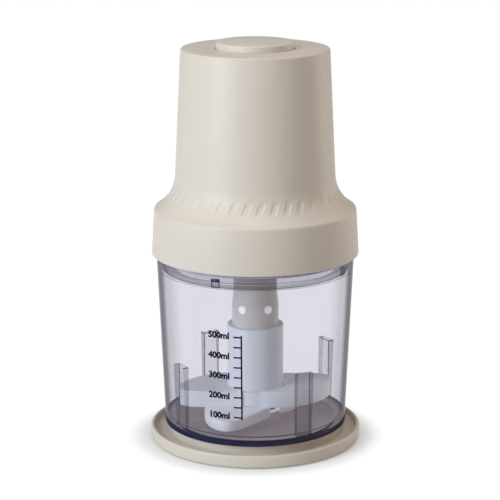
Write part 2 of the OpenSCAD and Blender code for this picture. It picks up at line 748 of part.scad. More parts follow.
module coupling_screw() {
    color([0.6, 0.6, 0.62]) translate([0, 0, coupling_z + 1.4]) rotate([180, 0, 0]) screw(1.25, 5.5, 2.3, 1.2);
}

// Motor ------------------------------------------------------------------------------------------
module chassis() {
    plate_r = body_r + 2;
    color([0.2, 0.21, 0.23]) difference() {
        union() {
            translate([0, 0, ring_top_z]) cylinder(r = plate_r - 3, h = chassis_t);
            for (s = [-1, 1]) translate([s * cell_x, 0, chassis_top_z - 0.2]) cylinder(r = cell_r + 0.2 + cup_wall, h = cup_h);
            translate([0, 0, chassis_top_z - 0.2]) cylinder(r = motor_r + 1.5, h = cup_h);
            for (x = [-1, 1], y = [-1, 1]) translate([x * post_x, y * post_y, chassis_top_z - 0.2])
                cylinder(r = post_r, h = frame_z - chassis_top_z + 0.2);
        }
        translate([0, 0, ring_top_z - cut]) cylinder(r = motor_boss_r, h = chassis_t + 2 * cut);
        translate([0, 0, chassis_top_z]) cylinder(r = motor_r, h = cup_h + 1);
        for (s = [-1, 1]) translate([s * cell_x, 0, chassis_top_z]) cylinder(r = cell_r + 0.2, h = cup_h + 1);
        for (x = [-1, 1]) translate([0, x * motor_screw_x, ring_top_z - cut]) {
            cylinder(r = 1.3, h = chassis_t + 2 * cut);
            cylinder(r = 2.3, h = 1.3 + cut);
        }
        ear_bores(1.6, ring_top_z - cut, chassis_t + 2 * cut);
        ear_bores(2.7, chassis_top_z, cup_h + 1);
        for (x = [-1, 1], y = [-1, 1]) translate([x * post_x, y * post_y, frame_z - 8]) cylinder(r = 1.1, h = 9);
    }
}

module motor_can() {
    color([0.72, 0.73, 0.75]) difference() {
        union() {
            rotate_extrude() polygon(concat([[0, motor_z], [motor_r - 1, motor_z], [motor_r, motor_z + 1]],
                [[motor_r, motor_top_z], [0, motor_top_z]]));
            translate([0, 0, motor_z - motor_boss_h]) cylinder(r = motor_boss_r, h = motor_boss_h + 0.2);
        }
        translate([0, 0, motor_z + 1.8]) cylinder(r = motor_r - motor_wall, h = motor_h);
        translate([0, 0, motor_z - motor_boss_h - cut]) cylinder(r = motor_bush_r, h = motor_boss_h + 3);
        for (x = [-1, 1]) translate([0, x * motor_screw_x, motor_z - cut]) cylinder(r = 1.2, h = 3);
    }
}

module motor_screws() {
    color([0.6, 0.6, 0.62]) for (x = [-1, 1]) translate([0, x * motor_screw_x, ring_top_z + 1.3])
        rotate([180, 0, 0]) screw(1.2, chassis_t + 0.4, 2.1, 1.2);
}

module motor_bushes() {
    color([0.72, 0.55, 0.3]) {
        translate([0, 0, motor_z - motor_boss_h]) tube(motor_bush_r, shaft_r + fit, motor_boss_h + 1.8);
        translate([0, 0, motor_top_z + 0.8]) tube(motor_bush_r, shaft_r + fit, motor_cap_h - 0.8);
    }
}

module motor_cap() {
    drop = motor_top_z - comm_z + 0.2;
    color([0.16, 0.16, 0.17]) difference() {
        union() {
            translate([0, 0, motor_top_z]) cylinder(r = motor_r, h = 1.6);
            translate([0, 0, motor_top_z]) cylinder(r = motor_r * 0.55, h = motor_cap_h);
            for (s = [-1, 1]) translate([s > 0 ? comm_r + 1.6 : -comm_r - 10, -3.4, motor_top_z - drop])
                cube([8.4, 6.8, drop + 0.2]);
        }
        translate([0, 0, motor_top_z - drop - cut]) cylinder(r = motor_bush_r, h = drop + motor_cap_h + 2 * cut);
        for (s = [-1, 1]) translate([s > 0 ? comm_r : -comm_r - 8, -2.2, comm_z + 0.6]) cube([8, 4.4, 4.4]);
        for (s = [-1, 1]) translate([s * 12 - 2.6, -0.4, motor_top_z - cut]) cube([5.2, 0.8, motor_cap_h + 1]);
    }
}

module motor_brushes() {
    color([0.18, 0.18, 0.19]) for (s = [-1, 1])
        translate([s > 0 ? comm_r + 0.1 : -comm_r - 7.6, -2.1, comm_z + 0.7]) cube([7.5, 4.2, 4.2]);
}

module motor_terminals() {
    color([0.8, 0.66, 0.35]) for (s = [-1, 1]) translate([s * 12 - 2.6, -0.4, motor_top_z]) cube([5.2, 0.8, 7]);
}

module motor_magnets() {
    r = motor_r - motor_wall;
    color([0.28, 0.27, 0.27]) for (a = [-70, 110]) rotate(a) translate([0, 0, motor_z + 8])
        rotate_extrude(angle = 140) translate([r - 2.4, 0]) square([2.4, 33]);
}

module motor_shaft() {
    color([0.75, 0.76, 0.78]) translate([0, 0, gear_z]) cylinder(r = shaft_r, h = motor_top_z + motor_cap_h + 1 - gear_z);
}

module rotor_core() {
    color([0.45, 0.45, 0.47]) translate([0, 0, rotor_z]) difference() {
        cylinder(r = rotor_r, h = rotor_h);
        translate([0, 0, -cut]) cylinder(r = shaft_r, h = rotor_h + 2 * cut);
        around([for (i = [0:poles - 1]) i * 360 / poles], 0) {
            translate([slot_in, -slot_w / 2, -cut]) cube([slot_out - slot_in, slot_w, rotor_h + 2 * cut]);
            translate([slot_out - 1, -0.8, -cut]) cube([rotor_r, 1.6, rotor_h + 2 * cut]);
        }
    }
}

module rotor_windings() {
    color([0.72, 0.42, 0.2]) translate([0, 0, rotor_z]) {
        around([for (i = [0:poles - 1]) i * 360 / poles], 0)
            translate([slot_in, -slot_w / 2, -0.5]) cube([slot_out - slot_in, slot_w, rotor_h + 1]);
        for (z = [-winding_h, rotor_h]) translate([0, 0, z]) tube(slot_out + 0.6, shaft_r + 2.2, winding_h);
    }
}

module commutator() {
    color([0.76, 0.5, 0.3]) translate([0, 0, comm_z]) tube(comm_r, shaft_r, comm_h);
}

// Battery and electronics ------------------------------------------------------------------------
module battery_cells() {
    color([0.25, 0.5, 0.75]) for (s = [-1, 1]) translate([s * cell_x, 0, cell_z]) difference() {
        cylinder(r = cell_r, h = cell_h);
        translate([0, 0, cell_h - 1]) tube(cell_r - 1.2, 4.5, 1 + cut);
    }
}

module cell_contacts() {
    color([0.8, 0.8, 0.78]) {
        for (s = [-1, 1]) translate([s * cell_x, 0, chassis_top_z]) cylinder(r = 6, h = contact_t);
        for (s = [-1, 1]) translate([s * cell_x - 4, -4, cell_top_z]) cube([8, 8, contact_t]);
        translate([-cell_x, -2.5, cell_top_z]) cube([2 * cell_x, 5, contact_t]);
    }
}

module upper_frame() {
    color([0.2, 0.21, 0.23]) difference() {
        union() {
            translate([0, 0, frame_z]) cylinder(r = frame_r, h = frame_t);
            for (s = [-1, 1]) translate([s * cell_x, 0, frame_z - cup_h]) cylinder(r = cell_r + 0.2 + cup_wall, h = cup_h + 0.2);
        }
        for (s = [-1, 1]) translate([s * cell_x, 0, frame_z - cup_h - cut]) cylinder(r = cell_r + 0.2, h = cup_h + cut);
        translate([-cell_x, -3, frame_z - 1]) cube([2 * cell_x, 6, 1]);
        for (x = [-1, 1], y = [-1, 1]) translate([x * post_x, y * post_y, frame_z - cut]) cylinder(r = 1.3, h = frame_t + 2 * cut);
    }
}

module frame_screws() {
    color([0.6, 0.6, 0.62]) for (x = [-1, 1], y = [-1, 1]) translate([x * post_x, y * post_y, board_z + board_t])
        screw(1.1, board_t + frame_t + 6, 2.2, 1.3);
}

module main_board() {
    color([0.1, 0.38, 0.22]) translate([0, 0, board_z]) difference() {
        cylinder(r = frame_r - 1.4, h = board_t);
        for (x = [-1, 1], y = [-1, 1]) translate([x * post_x, y * post_y, -cut]) cylinder(r = 1.3, h = board_t + 2 * cut);
    }
}

module board_parts() {
    top = board_z + board_t;
    color([0.15, 0.15, 0.16]) {
        translate([14, 6, top]) cube([9, 9, 1.6]);
        translate([14, -16, top]) cube([8, 6, 3.2]);
        translate([-20, 10, top]) cylinder(r = 3.2, h = 5);
        translate([-26, -14, top]) cube([7.5, 5, 4.6]);
        translate([4, 20, top]) cube([5, 4, 1.4]);
        translate([-8, -24, top]) cylinder(r = 4, h = 3.4);
    }
}

module micro_switch() {
    color([0.12, 0.12, 0.13]) {
        translate([lever_x - 1.6, -3, switch_z]) cube([13.4, 6, switch_h]);
        for (y = [-3, 2.2]) difference() {
            translate([lever_x - 1.2, y, switch_z + switch_h - 0.2]) cube([2.4, 0.8, 1.8]);
            translate([lever_x, y - cut, lever_z + lever_t / 2]) rotate([-90, 0, 0]) cylinder(r = 0.45, h = 2);
        }
    }
}

module switch_lever() {
    rise = asin(button_travel / -lever_x);
    color([0.78, 0.79, 0.81]) translate([lever_x, 0, lever_z + lever_t / 2]) {
        rotate([90, 0, 0]) cylinder(r = 0.4, h = 6, center = true);
        rotate([0, -rise, 0]) translate([0, -2, -lever_t / 2]) cube([lever_len, 4, lever_t]);
    }
}

// Push button ------------------------------------------------------------------------------------
module spring_seat() {
    color([0.9, 0.9, 0.9]) translate([0, 0, seat_plate_z]) difference() {
        union() {
            cylinder(r = guide_r + guide_wall, h = seat_plate_t);
            around(seat_screw_angles, seat_screw_x) cylinder(r = 2.6, h = seat_plate_t);
        }
        translate([0, 0, -cut]) cylinder(r = button_stem_r + slack, h = seat_plate_t + 2 * cut);
        around(seat_screw_angles, seat_screw_x) translate([0, 0, -cut]) cylinder(r = 1.2, h = seat_plate_t + 2 * cut);
    }
}

module seat_screws() {
    color([0.6, 0.6, 0.62]) around(seat_screw_angles, seat_screw_x) translate([0, 0, seat_plate_z])
        rotate([180, 0, 0]) screw(1, 5, 2, 1.2);
}

// A coil swept as a tube of six sides, its ends lying on the seat and under the button
module button_spring() {
    top = button_top_z - button_wall;
    sides = 6;
    steps = spring_turns * 18;
    rise = top - seat_top_z - 2 * wire_r;
    points = [for (i = [0:steps]) for (j = [0:sides - 1])
        let (a = i * 20, b = j * 360 / sides, r = spring_r + wire_r * cos(b))
        [r * cos(a), r * sin(a), seat_top_z + wire_r + rise * i / steps + wire_r * sin(b)]];
    walls = [for (i = [0:steps - 1]) for (j = [0:sides - 1])
        let (k = (j + 1) % sides) [i * sides + j, (i + 1) * sides + j, (i + 1) * sides + k, i * sides + k]];
    ends = [[for (j = [0:sides - 1]) j], [for (j = [sides - 1:-1:0]) steps * sides + j]];
    color([0.75, 0.76, 0.78]) polyhedron(points, concat(walls, ends));
}

module push_button() {
    top = button_top_z;
    flange_z = head_top_z - top_t - 0.3 - button_flange_t;
    color([0.8, 0.79, 0.78]) rotate_extrude() polygon(concat(
        [[0, stem_tip_z], [button_stem_r - 0.8, stem_tip_z], [button_stem_r, stem_tip_z + 0.8],
         [button_stem_r, top - button_wall], [button_r - button_wall, top - button_wall],
         [button_r - button_wall, flange_z], [button_flange_r, flange_z],
         [button_flange_r, flange_z + button_flange_t], [button_r, flange_z + button_flange_t]],
        fillet([button_r, flange_z], [button_r, top], [0, top], 0.8, 5), [[0, top]]));
}

// Charging port ----------------------------------------------------------------------------------
module charge_board() {
    y = port_face_y - port_depth;
    color([0.7, 0.7, 0.72]) {
        difference() {
            translate([-4.5, y - 1.5, port_z - 1.6]) cube([9, 6, 3.2]);
            translate([-4.2, y, port_z - 1.3]) cube([8.4, 6, 2.6]);
        }
        translate([-3.3, y, port_z - 0.35]) cube([6.6, 4, 0.7]);
    }
    color([0.1, 0.38, 0.22]) translate([-10, y - 3.1, port_z - 8]) cube([26, 1.6, 16]);
}

module port_cover() {
    h = port_h - 2 * flap_gap;
    color([0.8, 0.79, 0.77]) {
        translate([-port_w / 2 + flap_gap, port_face_y + flap_gap, port_z - port_h / 2 + flap_gap])
            cube([port_w - 2 * flap_gap, flap_t, h - flap_t / 2]);
        translate([0, port_face_y + flap_gap + flap_t / 2, port_z + port_h / 2 - flap_gap - flap_t / 2])
            rotate([0, 90, 0]) cylinder(r = flap_t / 2, h = port_w - 2 * flap_gap, center = true);
    }
}

module indicator_lens() {
    y = port_face_y - port_depth;
    out = sqrt(pow(body_r - (body_r - body_top_r) * (port_z - body_z) / (head_top_z - body_z), 2) - lens_x * lens_x);
    color([0.9, 0.95, 0.9]) translate([lens_x, y - 1.5, port_z]) rotate([-90, 0, 0]) cylinder(r = 1.25, h = out - y + 1.5);
}

base_tray();
foot_ring();
bowl();
bowl_pin();
drive_tube();
neck_sleeve();
blade_hub();
stem_bushes();
blade_spacer();
lower_blade();
upper_blade();
lower_guards();
upper_guards();
bowl_lid();
lid_seal();
head_shell();
bottom_cover();
cover_screws();
shaft_seal();
gearbox_gasket();
gearbox_base();
output_bush();
ring_gear();
gearbox_screws();
sun_gear();
planet_gear_1();
planet_gear_2();
planet_gear_3();
planet_carrier();
planet_pins();
output_shaft();
drive_coupling();
coupling_screw();
chassis();
motor_can();
motor_cap();
motor_magnets();
motor_bushes();
motor_screws();
motor_brushes();
motor_terminals();
motor_shaft();
rotor_core();
rotor_windings();
commutator();
battery_cells();
cell_contacts();
upper_frame();
frame_screws();
main_board();
board_parts();
micro_switch();
switch_lever();
spring_seat();
seat_screws();
button_spring();
push_button();
charge_board();
port_cover();
indicator_lens();
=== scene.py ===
"""Looks of a cordless mini food processor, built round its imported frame. Run as a script in Blender."""

import json
import math

import bmesh
import bpy
from bpy.props import FloatProperty, FloatVectorProperty, IntProperty, PointerProperty
from mathutils import Matrix, Vector


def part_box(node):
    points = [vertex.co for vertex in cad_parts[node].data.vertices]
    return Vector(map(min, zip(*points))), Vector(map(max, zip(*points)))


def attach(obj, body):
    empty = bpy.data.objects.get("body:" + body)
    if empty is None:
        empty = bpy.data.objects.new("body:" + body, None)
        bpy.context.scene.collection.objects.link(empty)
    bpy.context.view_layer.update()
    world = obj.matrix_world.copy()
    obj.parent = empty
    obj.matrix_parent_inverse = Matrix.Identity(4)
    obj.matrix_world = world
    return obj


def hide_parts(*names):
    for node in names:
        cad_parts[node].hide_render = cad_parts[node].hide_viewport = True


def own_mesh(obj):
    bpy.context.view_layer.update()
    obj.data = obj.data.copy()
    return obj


bl_info = {
    "name": "Mini food processor",
    "version": (1, 0, 0),
    "blender": (4, 5, 0),
    "location": "View3D > Sidebar > Processor",
    "description": "Moulded head, clear bowl, guarded blades and stand of a cordless mini food processor",
    "category": "Object",
}

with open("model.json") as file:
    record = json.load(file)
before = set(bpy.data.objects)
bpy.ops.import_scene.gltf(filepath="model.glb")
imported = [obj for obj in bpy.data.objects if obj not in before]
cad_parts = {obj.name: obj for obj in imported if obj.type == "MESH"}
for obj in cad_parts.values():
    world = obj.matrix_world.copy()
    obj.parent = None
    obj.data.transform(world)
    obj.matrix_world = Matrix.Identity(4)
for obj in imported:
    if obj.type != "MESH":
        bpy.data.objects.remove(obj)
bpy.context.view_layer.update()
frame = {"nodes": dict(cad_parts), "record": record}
MM = 0.001
TINY = 1e-7


def mm(*values):
    """Millimetres as the metres of the frame."""
    return tuple(value * MM for value in values)


def low(node):
    """Lowest corner of a CAD node."""
    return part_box(node)[0]


def high(node):
    """Highest corner of a CAD node."""
    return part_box(node)[1]


# Node trees ----------------------------------------------


def operator(operation):
    """A method that adds one Math node for its two values."""
    return lambda self, other: self.math(operation, other)


class Socket:
    """An output socket that arithmetic works on: every operator adds its Math node."""

    def __init__(self, graph, socket):
        self.graph = graph
        self.socket = socket

    def math(self, operation, *others):
        """A Math node that takes this socket first and the others after it."""
        return self.graph.math(operation, self, *others)

    def out(self, name):
        """Another output of the same node."""
        return Socket(self.graph, self.socket.node.outputs[name])

    def __abs__(self):
        return self.math("ABSOLUTE")

    def __rsub__(self, other):
        return self.graph.math("SUBTRACT", other, self)

    __sub__ = operator("SUBTRACT")
    __add__ = __radd__ = operator("ADD")
    __mul__ = __rmul__ = operator("MULTIPLY")
    __truediv__ = operator("DIVIDE")
    __pow__ = operator("POWER")
    __gt__ = operator("GREATER_THAN")


class Graph:
    """A node tree being built, for a material or for a geometry modifier."""

    def __init__(self, tree):
        self.tree = tree
        tree.nodes.clear()

    def add(self, kind, settings=None, sockets=None, output=0):
        """A node of a type, with its settings first, then its sockets' values or links."""
        node = self.tree.nodes.new(kind)
        for name, value in (settings or {}).items():
            setattr(node, name, value)
        for name, value in (sockets or {}).items():
            self.plug(node.inputs[name], value)
        return Socket(self, node.outputs[output]) if node.outputs else node

    def plug(self, socket, value):
        """Links a socket to another, or sets its value."""
        if isinstance(value, Socket):
            self.tree.links.new(value.socket, socket)
        else:
            socket.default_value = value

    def math(self, operation, *values):
        return self.add("ShaderNodeMath", {"operation": operation}, dict(enumerate(values)))

    def smooth(self, value, start, end):
        """0 below start and 1 above end, with a soft step between."""
        step = {"interpolation_type": "SMOOTHSTEP"}
        return self.add("ShaderNodeMapRange", step, {0: value, 1: start, 2: end})

    def blend(self, factor, first, second):
        """The first colour at a factor of 0 and the second at 1."""
        return self.add("ShaderNodeMix", {"data_type": "RGBA"}, {0: factor, 6: first, 7: second}, output=2)

    def shades(self, factor, colour, gain, other_gain):
        """One colour, from one gain to another."""
        return self.blend(factor, rgba(colour, gain), rgba(colour, other_gain))

    def split(self, vector):
        """The X, Y and Z of a vector."""
        parts = self.add("ShaderNodeSeparateXYZ", None, {0: vector})
        return [parts.out(axis) for axis in "XYZ"]

    def place(self):
        """Where a point lies, in the object's own coordinates."""
        return self.add("ShaderNodeTexCoord").out("Object")

    def rays(self, *kinds):
        """1 for the rays of any of those kinds."""
        path = self.add("ShaderNodeLightPath")
        either, *others = (path.out(f"Is {kind} Ray") for kind in kinds)
        for other in others:
            either = either.math("MAXIMUM", other)
        return either

    def noise(self, scale, detail=2.0, stretch=(1, 1, 1), roughness=0.5):
        where = self.add("ShaderNodeMapping", None, {"Vector": self.place(), "Scale": stretch})
        sockets = {"Vector": where, "Scale": scale, "Detail": detail, "Roughness": roughness}
        return self.add("ShaderNodeTexNoise", None, sockets)

    def bump(self, height, depth):
        """A normal that follows a height from 0 to 1, as deep as that in metres."""
        return self.add("ShaderNodeBump", None, {"Height": height, "Distance": depth, "Strength": 1.0})

    def principled(self, sockets):
        return self.add("ShaderNodeBsdfPrincipled", None, sockets)

    def mix_shader(self, factor, first, second):
        return self.add("ShaderNodeMixShader", None, {0: factor, 1: first, 2: second})


def rgba(colour, gain=1.0):
    """A colour with its alpha, made lighter or darker by a gain."""
    return (*(channel * gain for channel in colour), 1.0)


BLACK = (0, 0, 0)
WHITE = (1, 1, 1)
MATERIALS = {}


def material(name, build, *arguments):
    """The material of that name, built once by its own function."""
    if name not in MATERIALS:
        made = bpy.data.materials.new(name)
        made.use_nodes = True
        graph = Graph(made.node_tree)
        graph.add("ShaderNodeOutputMaterial", None, {"Surface": build(graph, *arguments)})
        MATERIALS[name] = made
    return MATERIALS[name]


def moulded(graph, colour, roughness, grain):
    """Moulded plastic: a faint cloudiness in its colour and a fine spark-eroded grain."""
    cloud = graph.noise(14.0, 3.0)
    texture = graph.noise(1500.0, 2.0)
    return graph.principled(
        {
            "Base Color": graph.shades(cloud, colour, 0.975, 1.015),
            "Roughness": roughness + (texture - 0.5) * 0.12 + (cloud - 0.5) * 0.06,
            "Normal": graph.bump(texture, grain * MM),
            "Specular IOR Level": 0.45,
        }
    )


def clear_wall(graph, tint, edge_colour, foot, floor, foot_radius, line_height):
    """Clear moulded plastic: dark edge-on and along a moulded corner, navy round a thick foot, and a painted
    glow on the floor low in the bowl.

    The navy band lies between two heights and outside a radius, and a fine line at a third height."""
    grazing = graph.add("ShaderNodeLayerWeight", None, {"Blend": 0.5}).out("Facing")
    surface = graph.add("ShaderNodeNewGeometry")
    to_object = {"vector_type": "NORMAL", "convert_from": "WORLD", "convert_to": "OBJECT"}
    own_normal = graph.add("ShaderNodeVectorTransform", to_object, {0: surface.out("True Normal")})
    x, y, height = graph.split(graph.place())
    normal_x, normal_y, normal_z = graph.split(own_normal)
    radius = (x * x + y * y) ** 0.5 + 0.0001
    front = 1 - surface.out("Backfacing") * 2
    outward = (normal_x * x + normal_y * y) / radius * front
    level = normal_z * normal_z
    across = 1 - outward * outward - level
    largest = level.math("MAXIMUM", across).math("MAXIMUM", outward * outward)
    corner = 1 - graph.smooth(largest, 0.88, 0.96)
    outside = graph.smooth(outward, -0.3, 0.3)
    side = graph.smooth(across, 0.6, 0.9)
    streak = graph.noise(90.0, 2.0, (1, 1, 0.25))
    outer = graph.smooth(radius, foot_radius - 0.4 * MM, foot_radius)
    above = graph.smooth(height, foot - 0.6 * MM, foot)
    band = above * (1 - graph.smooth(height, floor, floor + 0.5 * MM)) * outer
    line = (1 - graph.smooth(abs(height - line_height), 0.15 * MM, 0.35 * MM)) * outer
    shadow = graph.rays("Shadow")
    rim = graph.smooth(grazing, 0.36, 0.6) * 0.15 + graph.smooth(grazing, 0.6, 0.8) * 0.6
    edge = rim * outside * (1 - level) + 0.02 + streak * 0.012 + side * 0.32
    edge = edge + corner * 0.85 * (1 - grazing * 0.4) + line * 0.5
    # Painted light: level faces low in the bowl glow faintly and cover a little more, lifting the shade on
    # the bowl's floor
    painted_floor_light = level * (1 - graph.smooth(height, 20 * MM, 30 * MM)) * (height > foot)
    body = graph.principled(
        {
            "Base Color": graph.blend(band, rgba(edge_colour), rgba(BAND_NAVY)),
            "Roughness": 0.08 + streak * 0.04,
            "Specular IOR Level": 0.02,
            "Emission Color": graph.blend(painted_floor_light, rgba(BLACK), rgba(PAINTED_FLOOR_LIGHT)),
            "Emission Strength": 1.0,
        }
    )
    tinted = graph.add("ShaderNodeBsdfTransparent", None, {"Color": rgba(tint)})
    open_part = graph.mix_shader(shadow, tinted, graph.add("ShaderNodeBsdfTransparent"))
    cover = edge * (1 - shadow * 0.8) + painted_floor_light * 0.2
    wall = graph.mix_shader(cover + band * 0.93 * (1 - cover), open_part, body)
    gloss = graph.add("ShaderNodeBsdfAnisotropic", None, {"Color": rgba(WHITE), "Roughness": 0.04})
    shine = graph.add("ShaderNodeFresnel", None, {"IOR": 1.33})
    return graph.mix_shader(shine.math("MINIMUM", 0.06) * 0.5, wall, gloss)


def frosted(graph, colour, painted_glow):
    """Frosted translucent plastic with a painted glow: an emission in its own colour stands in for light
    passing through it and lifts its shade.
    """
    cloud = graph.noise(60.0, 2.0)
    texture = graph.noise(2600.0, 1.0)
    return graph.principled(
        {
            "Base Color": graph.shades(cloud, colour, 0.96, 1.03),
            "Roughness": 0.34 + texture * 0.12,
            "Normal": graph.bump(texture, 0.006 * MM),
            "Coat Weight": 0.15,
            # Painted light: the plastic glows in its own colour
            "Emission Color": rgba(colour),
            "Emission Strength": painted_glow,
        }
    )


def metal(graph, colour, roughness, stretch, depth=0.004):
    """Bare metal with tool marks drawn out along one direction, and slight tarnish."""
    marks = graph.noise(700.0, 3.0, stretch, 0.6)
    tarnish = graph.noise(45.0, 3.0)
    return graph.principled(
        {
            "Base Color": graph.shades(tarnish, colour, 0.86, 1.04),
            "Metallic": 1.0,
            "Roughness": roughness + (marks - 0.5) * 0.18,
            "Normal": graph.bump(marks, depth * MM),
        }
    )


def rubber(graph, colour):
    """Rubber: matt, with a dusty bloom and a fine pebbled grain."""
    bloom = graph.noise(40.0, 4.0)
    pebble = graph.noise(1800.0, 2.0)
    return graph.principled(
        {
            "Base Color": graph.shades(graph.smooth(bloom, 0.35, 0.75), colour, 0.9, 1.15),
            "Roughness": 0.62 + pebble * 0.2,
            "Normal": graph.bump(pebble, 0.01 * MM),
            "Sheen Weight": 0.1,
        }
    )


def laminated(graph, colour):
    """Stacked steel sheets: fine horizontal lines, two to a millimetre, darker in their grooves, partly the
    joints between sheets and partly painted shade.
    """
    height = graph.split(graph.place())[2]
    radians_per_metre = 12500.0
    line = (height * radians_per_metre).math("SINE") * 0.5 + 0.5
    return graph.principled(
        {
            # Partly painted shade: the lines darken where they sink
            "Base Color": graph.shades(line, colour, 0.7, 1.1),
            "Metallic": 0.9,
            "Roughness": 0.42 + line * 0.15,
            "Normal": graph.bump(line, 0.03 * MM),
        }
    )


def wound(graph, colour):
    """Enamelled wire wound in layers: close ridges with a lacquered shine, darker in the grooves between
    turns as painted shade.
    """
    wave = graph.add(
        "ShaderNodeTexWave",
        {"wave_type": "RINGS", "rings_direction": "Z"},
        {"Vector": graph.place(), "Scale": 420.0, "Distortion": 1.2, "Detail": 1.0},
    ).out("Fac")
    return graph.principled(
        {
            # Painted shade: the colour darkens into the grooves between the turns
            "Base Color": graph.shades(wave, colour, 0.6, 1.1),
            "Metallic": 0.85,
            "Roughness": 0.3,
            "Normal": graph.bump(wave, 0.12 * MM),
            "Coat Weight": 0.4,
        }
    )


def circuit_board(graph, colour):
    """Solder mask over copper tracks: paler lines on a fixed grid of cells."""
    cells = graph.add(
        "ShaderNodeTexBrick",
        {"offset": 0.37, "squash": 1.0},
        {"Vector": graph.place(), "Scale": 190.0, "Mortar Size": 0.035, "Mortar Smooth": 0.1},
    ).out("Fac")
    fleck = graph.smooth(graph.noise(420.0, 1.0), 0.62, 0.68)
    track = (colour[0] + 0.05, colour[1] * 1.5, colour[2] * 1.4)
    return graph.principled(
        {
            "Base Color": graph.blend(cells, rgba(colour), rgba(track)),
            "Roughness": 0.28 + fleck * 0.2,
            "Metallic": fleck * 0.6,
            "Normal": graph.bump(cells, 0.05 * MM),
        }
    )


def ink(graph, colour):
    """Printed ink: slightly uneven cover."""
    wear = graph.noise(900.0, 3.0)
    tone = graph.shades(wear, colour, 0.8, 1.3)
    return graph.principled({"Base Color": tone, "Roughness": 0.7, "Specular IOR Level": 0.1})


# Finish of every material slot: its builder and what it takes
ALONG_Z = (1, 1, 0.04)
AROUND_Z = (0.06, 0.06, 1)
FINISHES = {
    "stand_plastic": (moulded, (0.74, 0.667, 0.573), 0.46, 0.012),
    "head_plastic": (moulded, (0.77, 0.69, 0.6), 0.44, 0.012),
    "button_plastic": (moulded, (0.77, 0.71, 0.64), 0.42, 0.010),
    "cover_plastic": (moulded, (0.66, 0.63, 0.58), 0.5, 0.014),
    "dark_plastic": (moulded, (0.028, 0.03, 0.036), 0.5, 0.016),
    "gear_plastic": (moulded, (0.78, 0.75, 0.65), 0.4, 0.006),
    # A frosted finish's last number is its painted glow, which lifts its shade
    "hub_plastic": (frosted, (0.79, 0.8, 0.86), 0.11),
    "neck_plastic": (frosted, (0.71, 0.67, 0.65), 0.07),
    "seal_rubber": (rubber, (0.74, 0.71, 0.76)),
    "black_rubber": (rubber, (0.018, 0.018, 0.02)),
    "foot_rubber": (rubber, (0.04, 0.04, 0.043)),
    "blade_steel": (metal, (0.62, 0.63, 0.65), 0.26, (1, 0.05, 1)),
    "turned_steel": (metal, (0.58, 0.59, 0.62), 0.24, AROUND_Z),
    "screw_steel": (metal, (0.45, 0.45, 0.47), 0.36, AROUND_Z),
    "can_steel": (metal, (0.5, 0.51, 0.53), 0.38, ALONG_Z),
    "sun_brass": (metal, (0.72, 0.55, 0.25), 0.3, AROUND_Z),
    "bush_bronze": (metal, (0.5, 0.33, 0.16), 0.48, (1, 1, 1), 0.012),
    "carrier_metal": (metal, (0.4, 0.41, 0.43), 0.42, (1, 1, 1), 0.012),
    "nickel": (metal, (0.66, 0.64, 0.58), 0.22, ALONG_Z),
    "magnet": (metal, (0.06, 0.055, 0.055), 0.6, (1, 1, 1), 0.015),
    "core_steel": (laminated, (0.28, 0.28, 0.3)),
    "copper": (wound, (0.6, 0.24, 0.09)),
    "carbon": (moulded, (0.018, 0.018, 0.02), 0.6, 0.02),
    "cell_sleeve": (moulded, (0.03, 0.12, 0.32), 0.24, 0.003),
    "board": (circuit_board, (0.01, 0.11, 0.04)),
}
# Pieces with a tone of their own within their slot; a frosted tone's last number is its painted glow,
# strongest on the white studs
GUARD_TONE = ("guard_plastic", frosted, (0.79, 0.8, 0.85), 0.165)
TONES = {
    "drive_tube": ("stud_plastic", frosted, (0.92, 0.9, 0.92), 0.34),
    "upper_guards": GUARD_TONE,
    "lower_guards": GUARD_TONE,
    "port_cover": ("flap_rubber", rubber, (0.7, 0.64, 0.56)),
}
# Clear plastic: what shows through it, its edges, its thick foot and the painted light that lifts the shade
# on its floor
CLEAR = ((0.938, 0.935, 0.957), (0.05, 0.042, 0.08))
CLEAR_LENS = ((0.9, 0.98, 0.92), (0.3, 0.4, 0.32))
BAND_NAVY = (0.008, 0.011, 0.055)
# Colour of the painted light on the bowl's floor
PAINTED_FLOOR_LIGHT = (0.21, 0.18, 0.19)
FOOT_RADIUS = 46.4 * MM
NOWHERE = -1.0


def finish_of(slot, node=None):
    """The material of one of the record's slots, or the node's own tone."""
    if node in TONES:
        return material(*TONES[node])
    if slot == "clear_plastic":
        # The navy band ends at the bowl's floor, and the fine line runs along the lid's underside
        floor = low("drive_tube").z - 2.7 * MM
        line_height = low("bowl_lid").z + 0.2 * MM
        return material(slot, clear_wall, *CLEAR, low("bowl").z, floor, FOOT_RADIUS, line_height)
    if slot == "lens":
        return material(slot, clear_wall, *CLEAR_LENS, *([NOWHERE] * 4))
    build, *arguments = FINISHES[slot]
    return material(slot, build, *arguments)


# Meshes --------------------------------------------------


def fillet(before, corner, after, radius, steps):
    """Points of an arc of that radius that rounds a corner between two others."""
    back = (before - corner).normalized()
    ahead = (after - corner).normalized()
    half = math.acos(max(-1.0, min(1.0, back.dot(ahead)))) / 2
    centre = corner + (back + ahead).normalized() * radius / math.sin(half)
    start = corner + back * radius / math.tan(half) - centre
    turn = (start.angle_signed(corner + ahead * radius / math.tan(half) - centre)) if radius else 0.0
    return [centre + Matrix.Rotation(-turn * i / steps, 2) @ start for i in range(steps + 1)]


def outline(corners, steps):
    """A closed profile from (radius, height, rounding) corners in mm, with a limit on an arc's steps."""
    points = [Vector((r, z)) for r, z, _ in corners]
    loop = []
    for index, (_, _, rounding) in enumerate(corners):
        before, corner = points[index - 1], points[index]
        after = points[(index + 1) % len(points)]
        count = max(3, min(steps, math.ceil(rounding * 2.2)))
        loop += fillet(before, corner, after, rounding, count) if rounding else [corner]
    return [point * MM for point in loop]


def new_object(name, data):
    """An object in the scene, at the origin."""
    made = bpy.data.objects.new(name, data)
    bpy.context.scene.collection.objects.link(made)
    return made


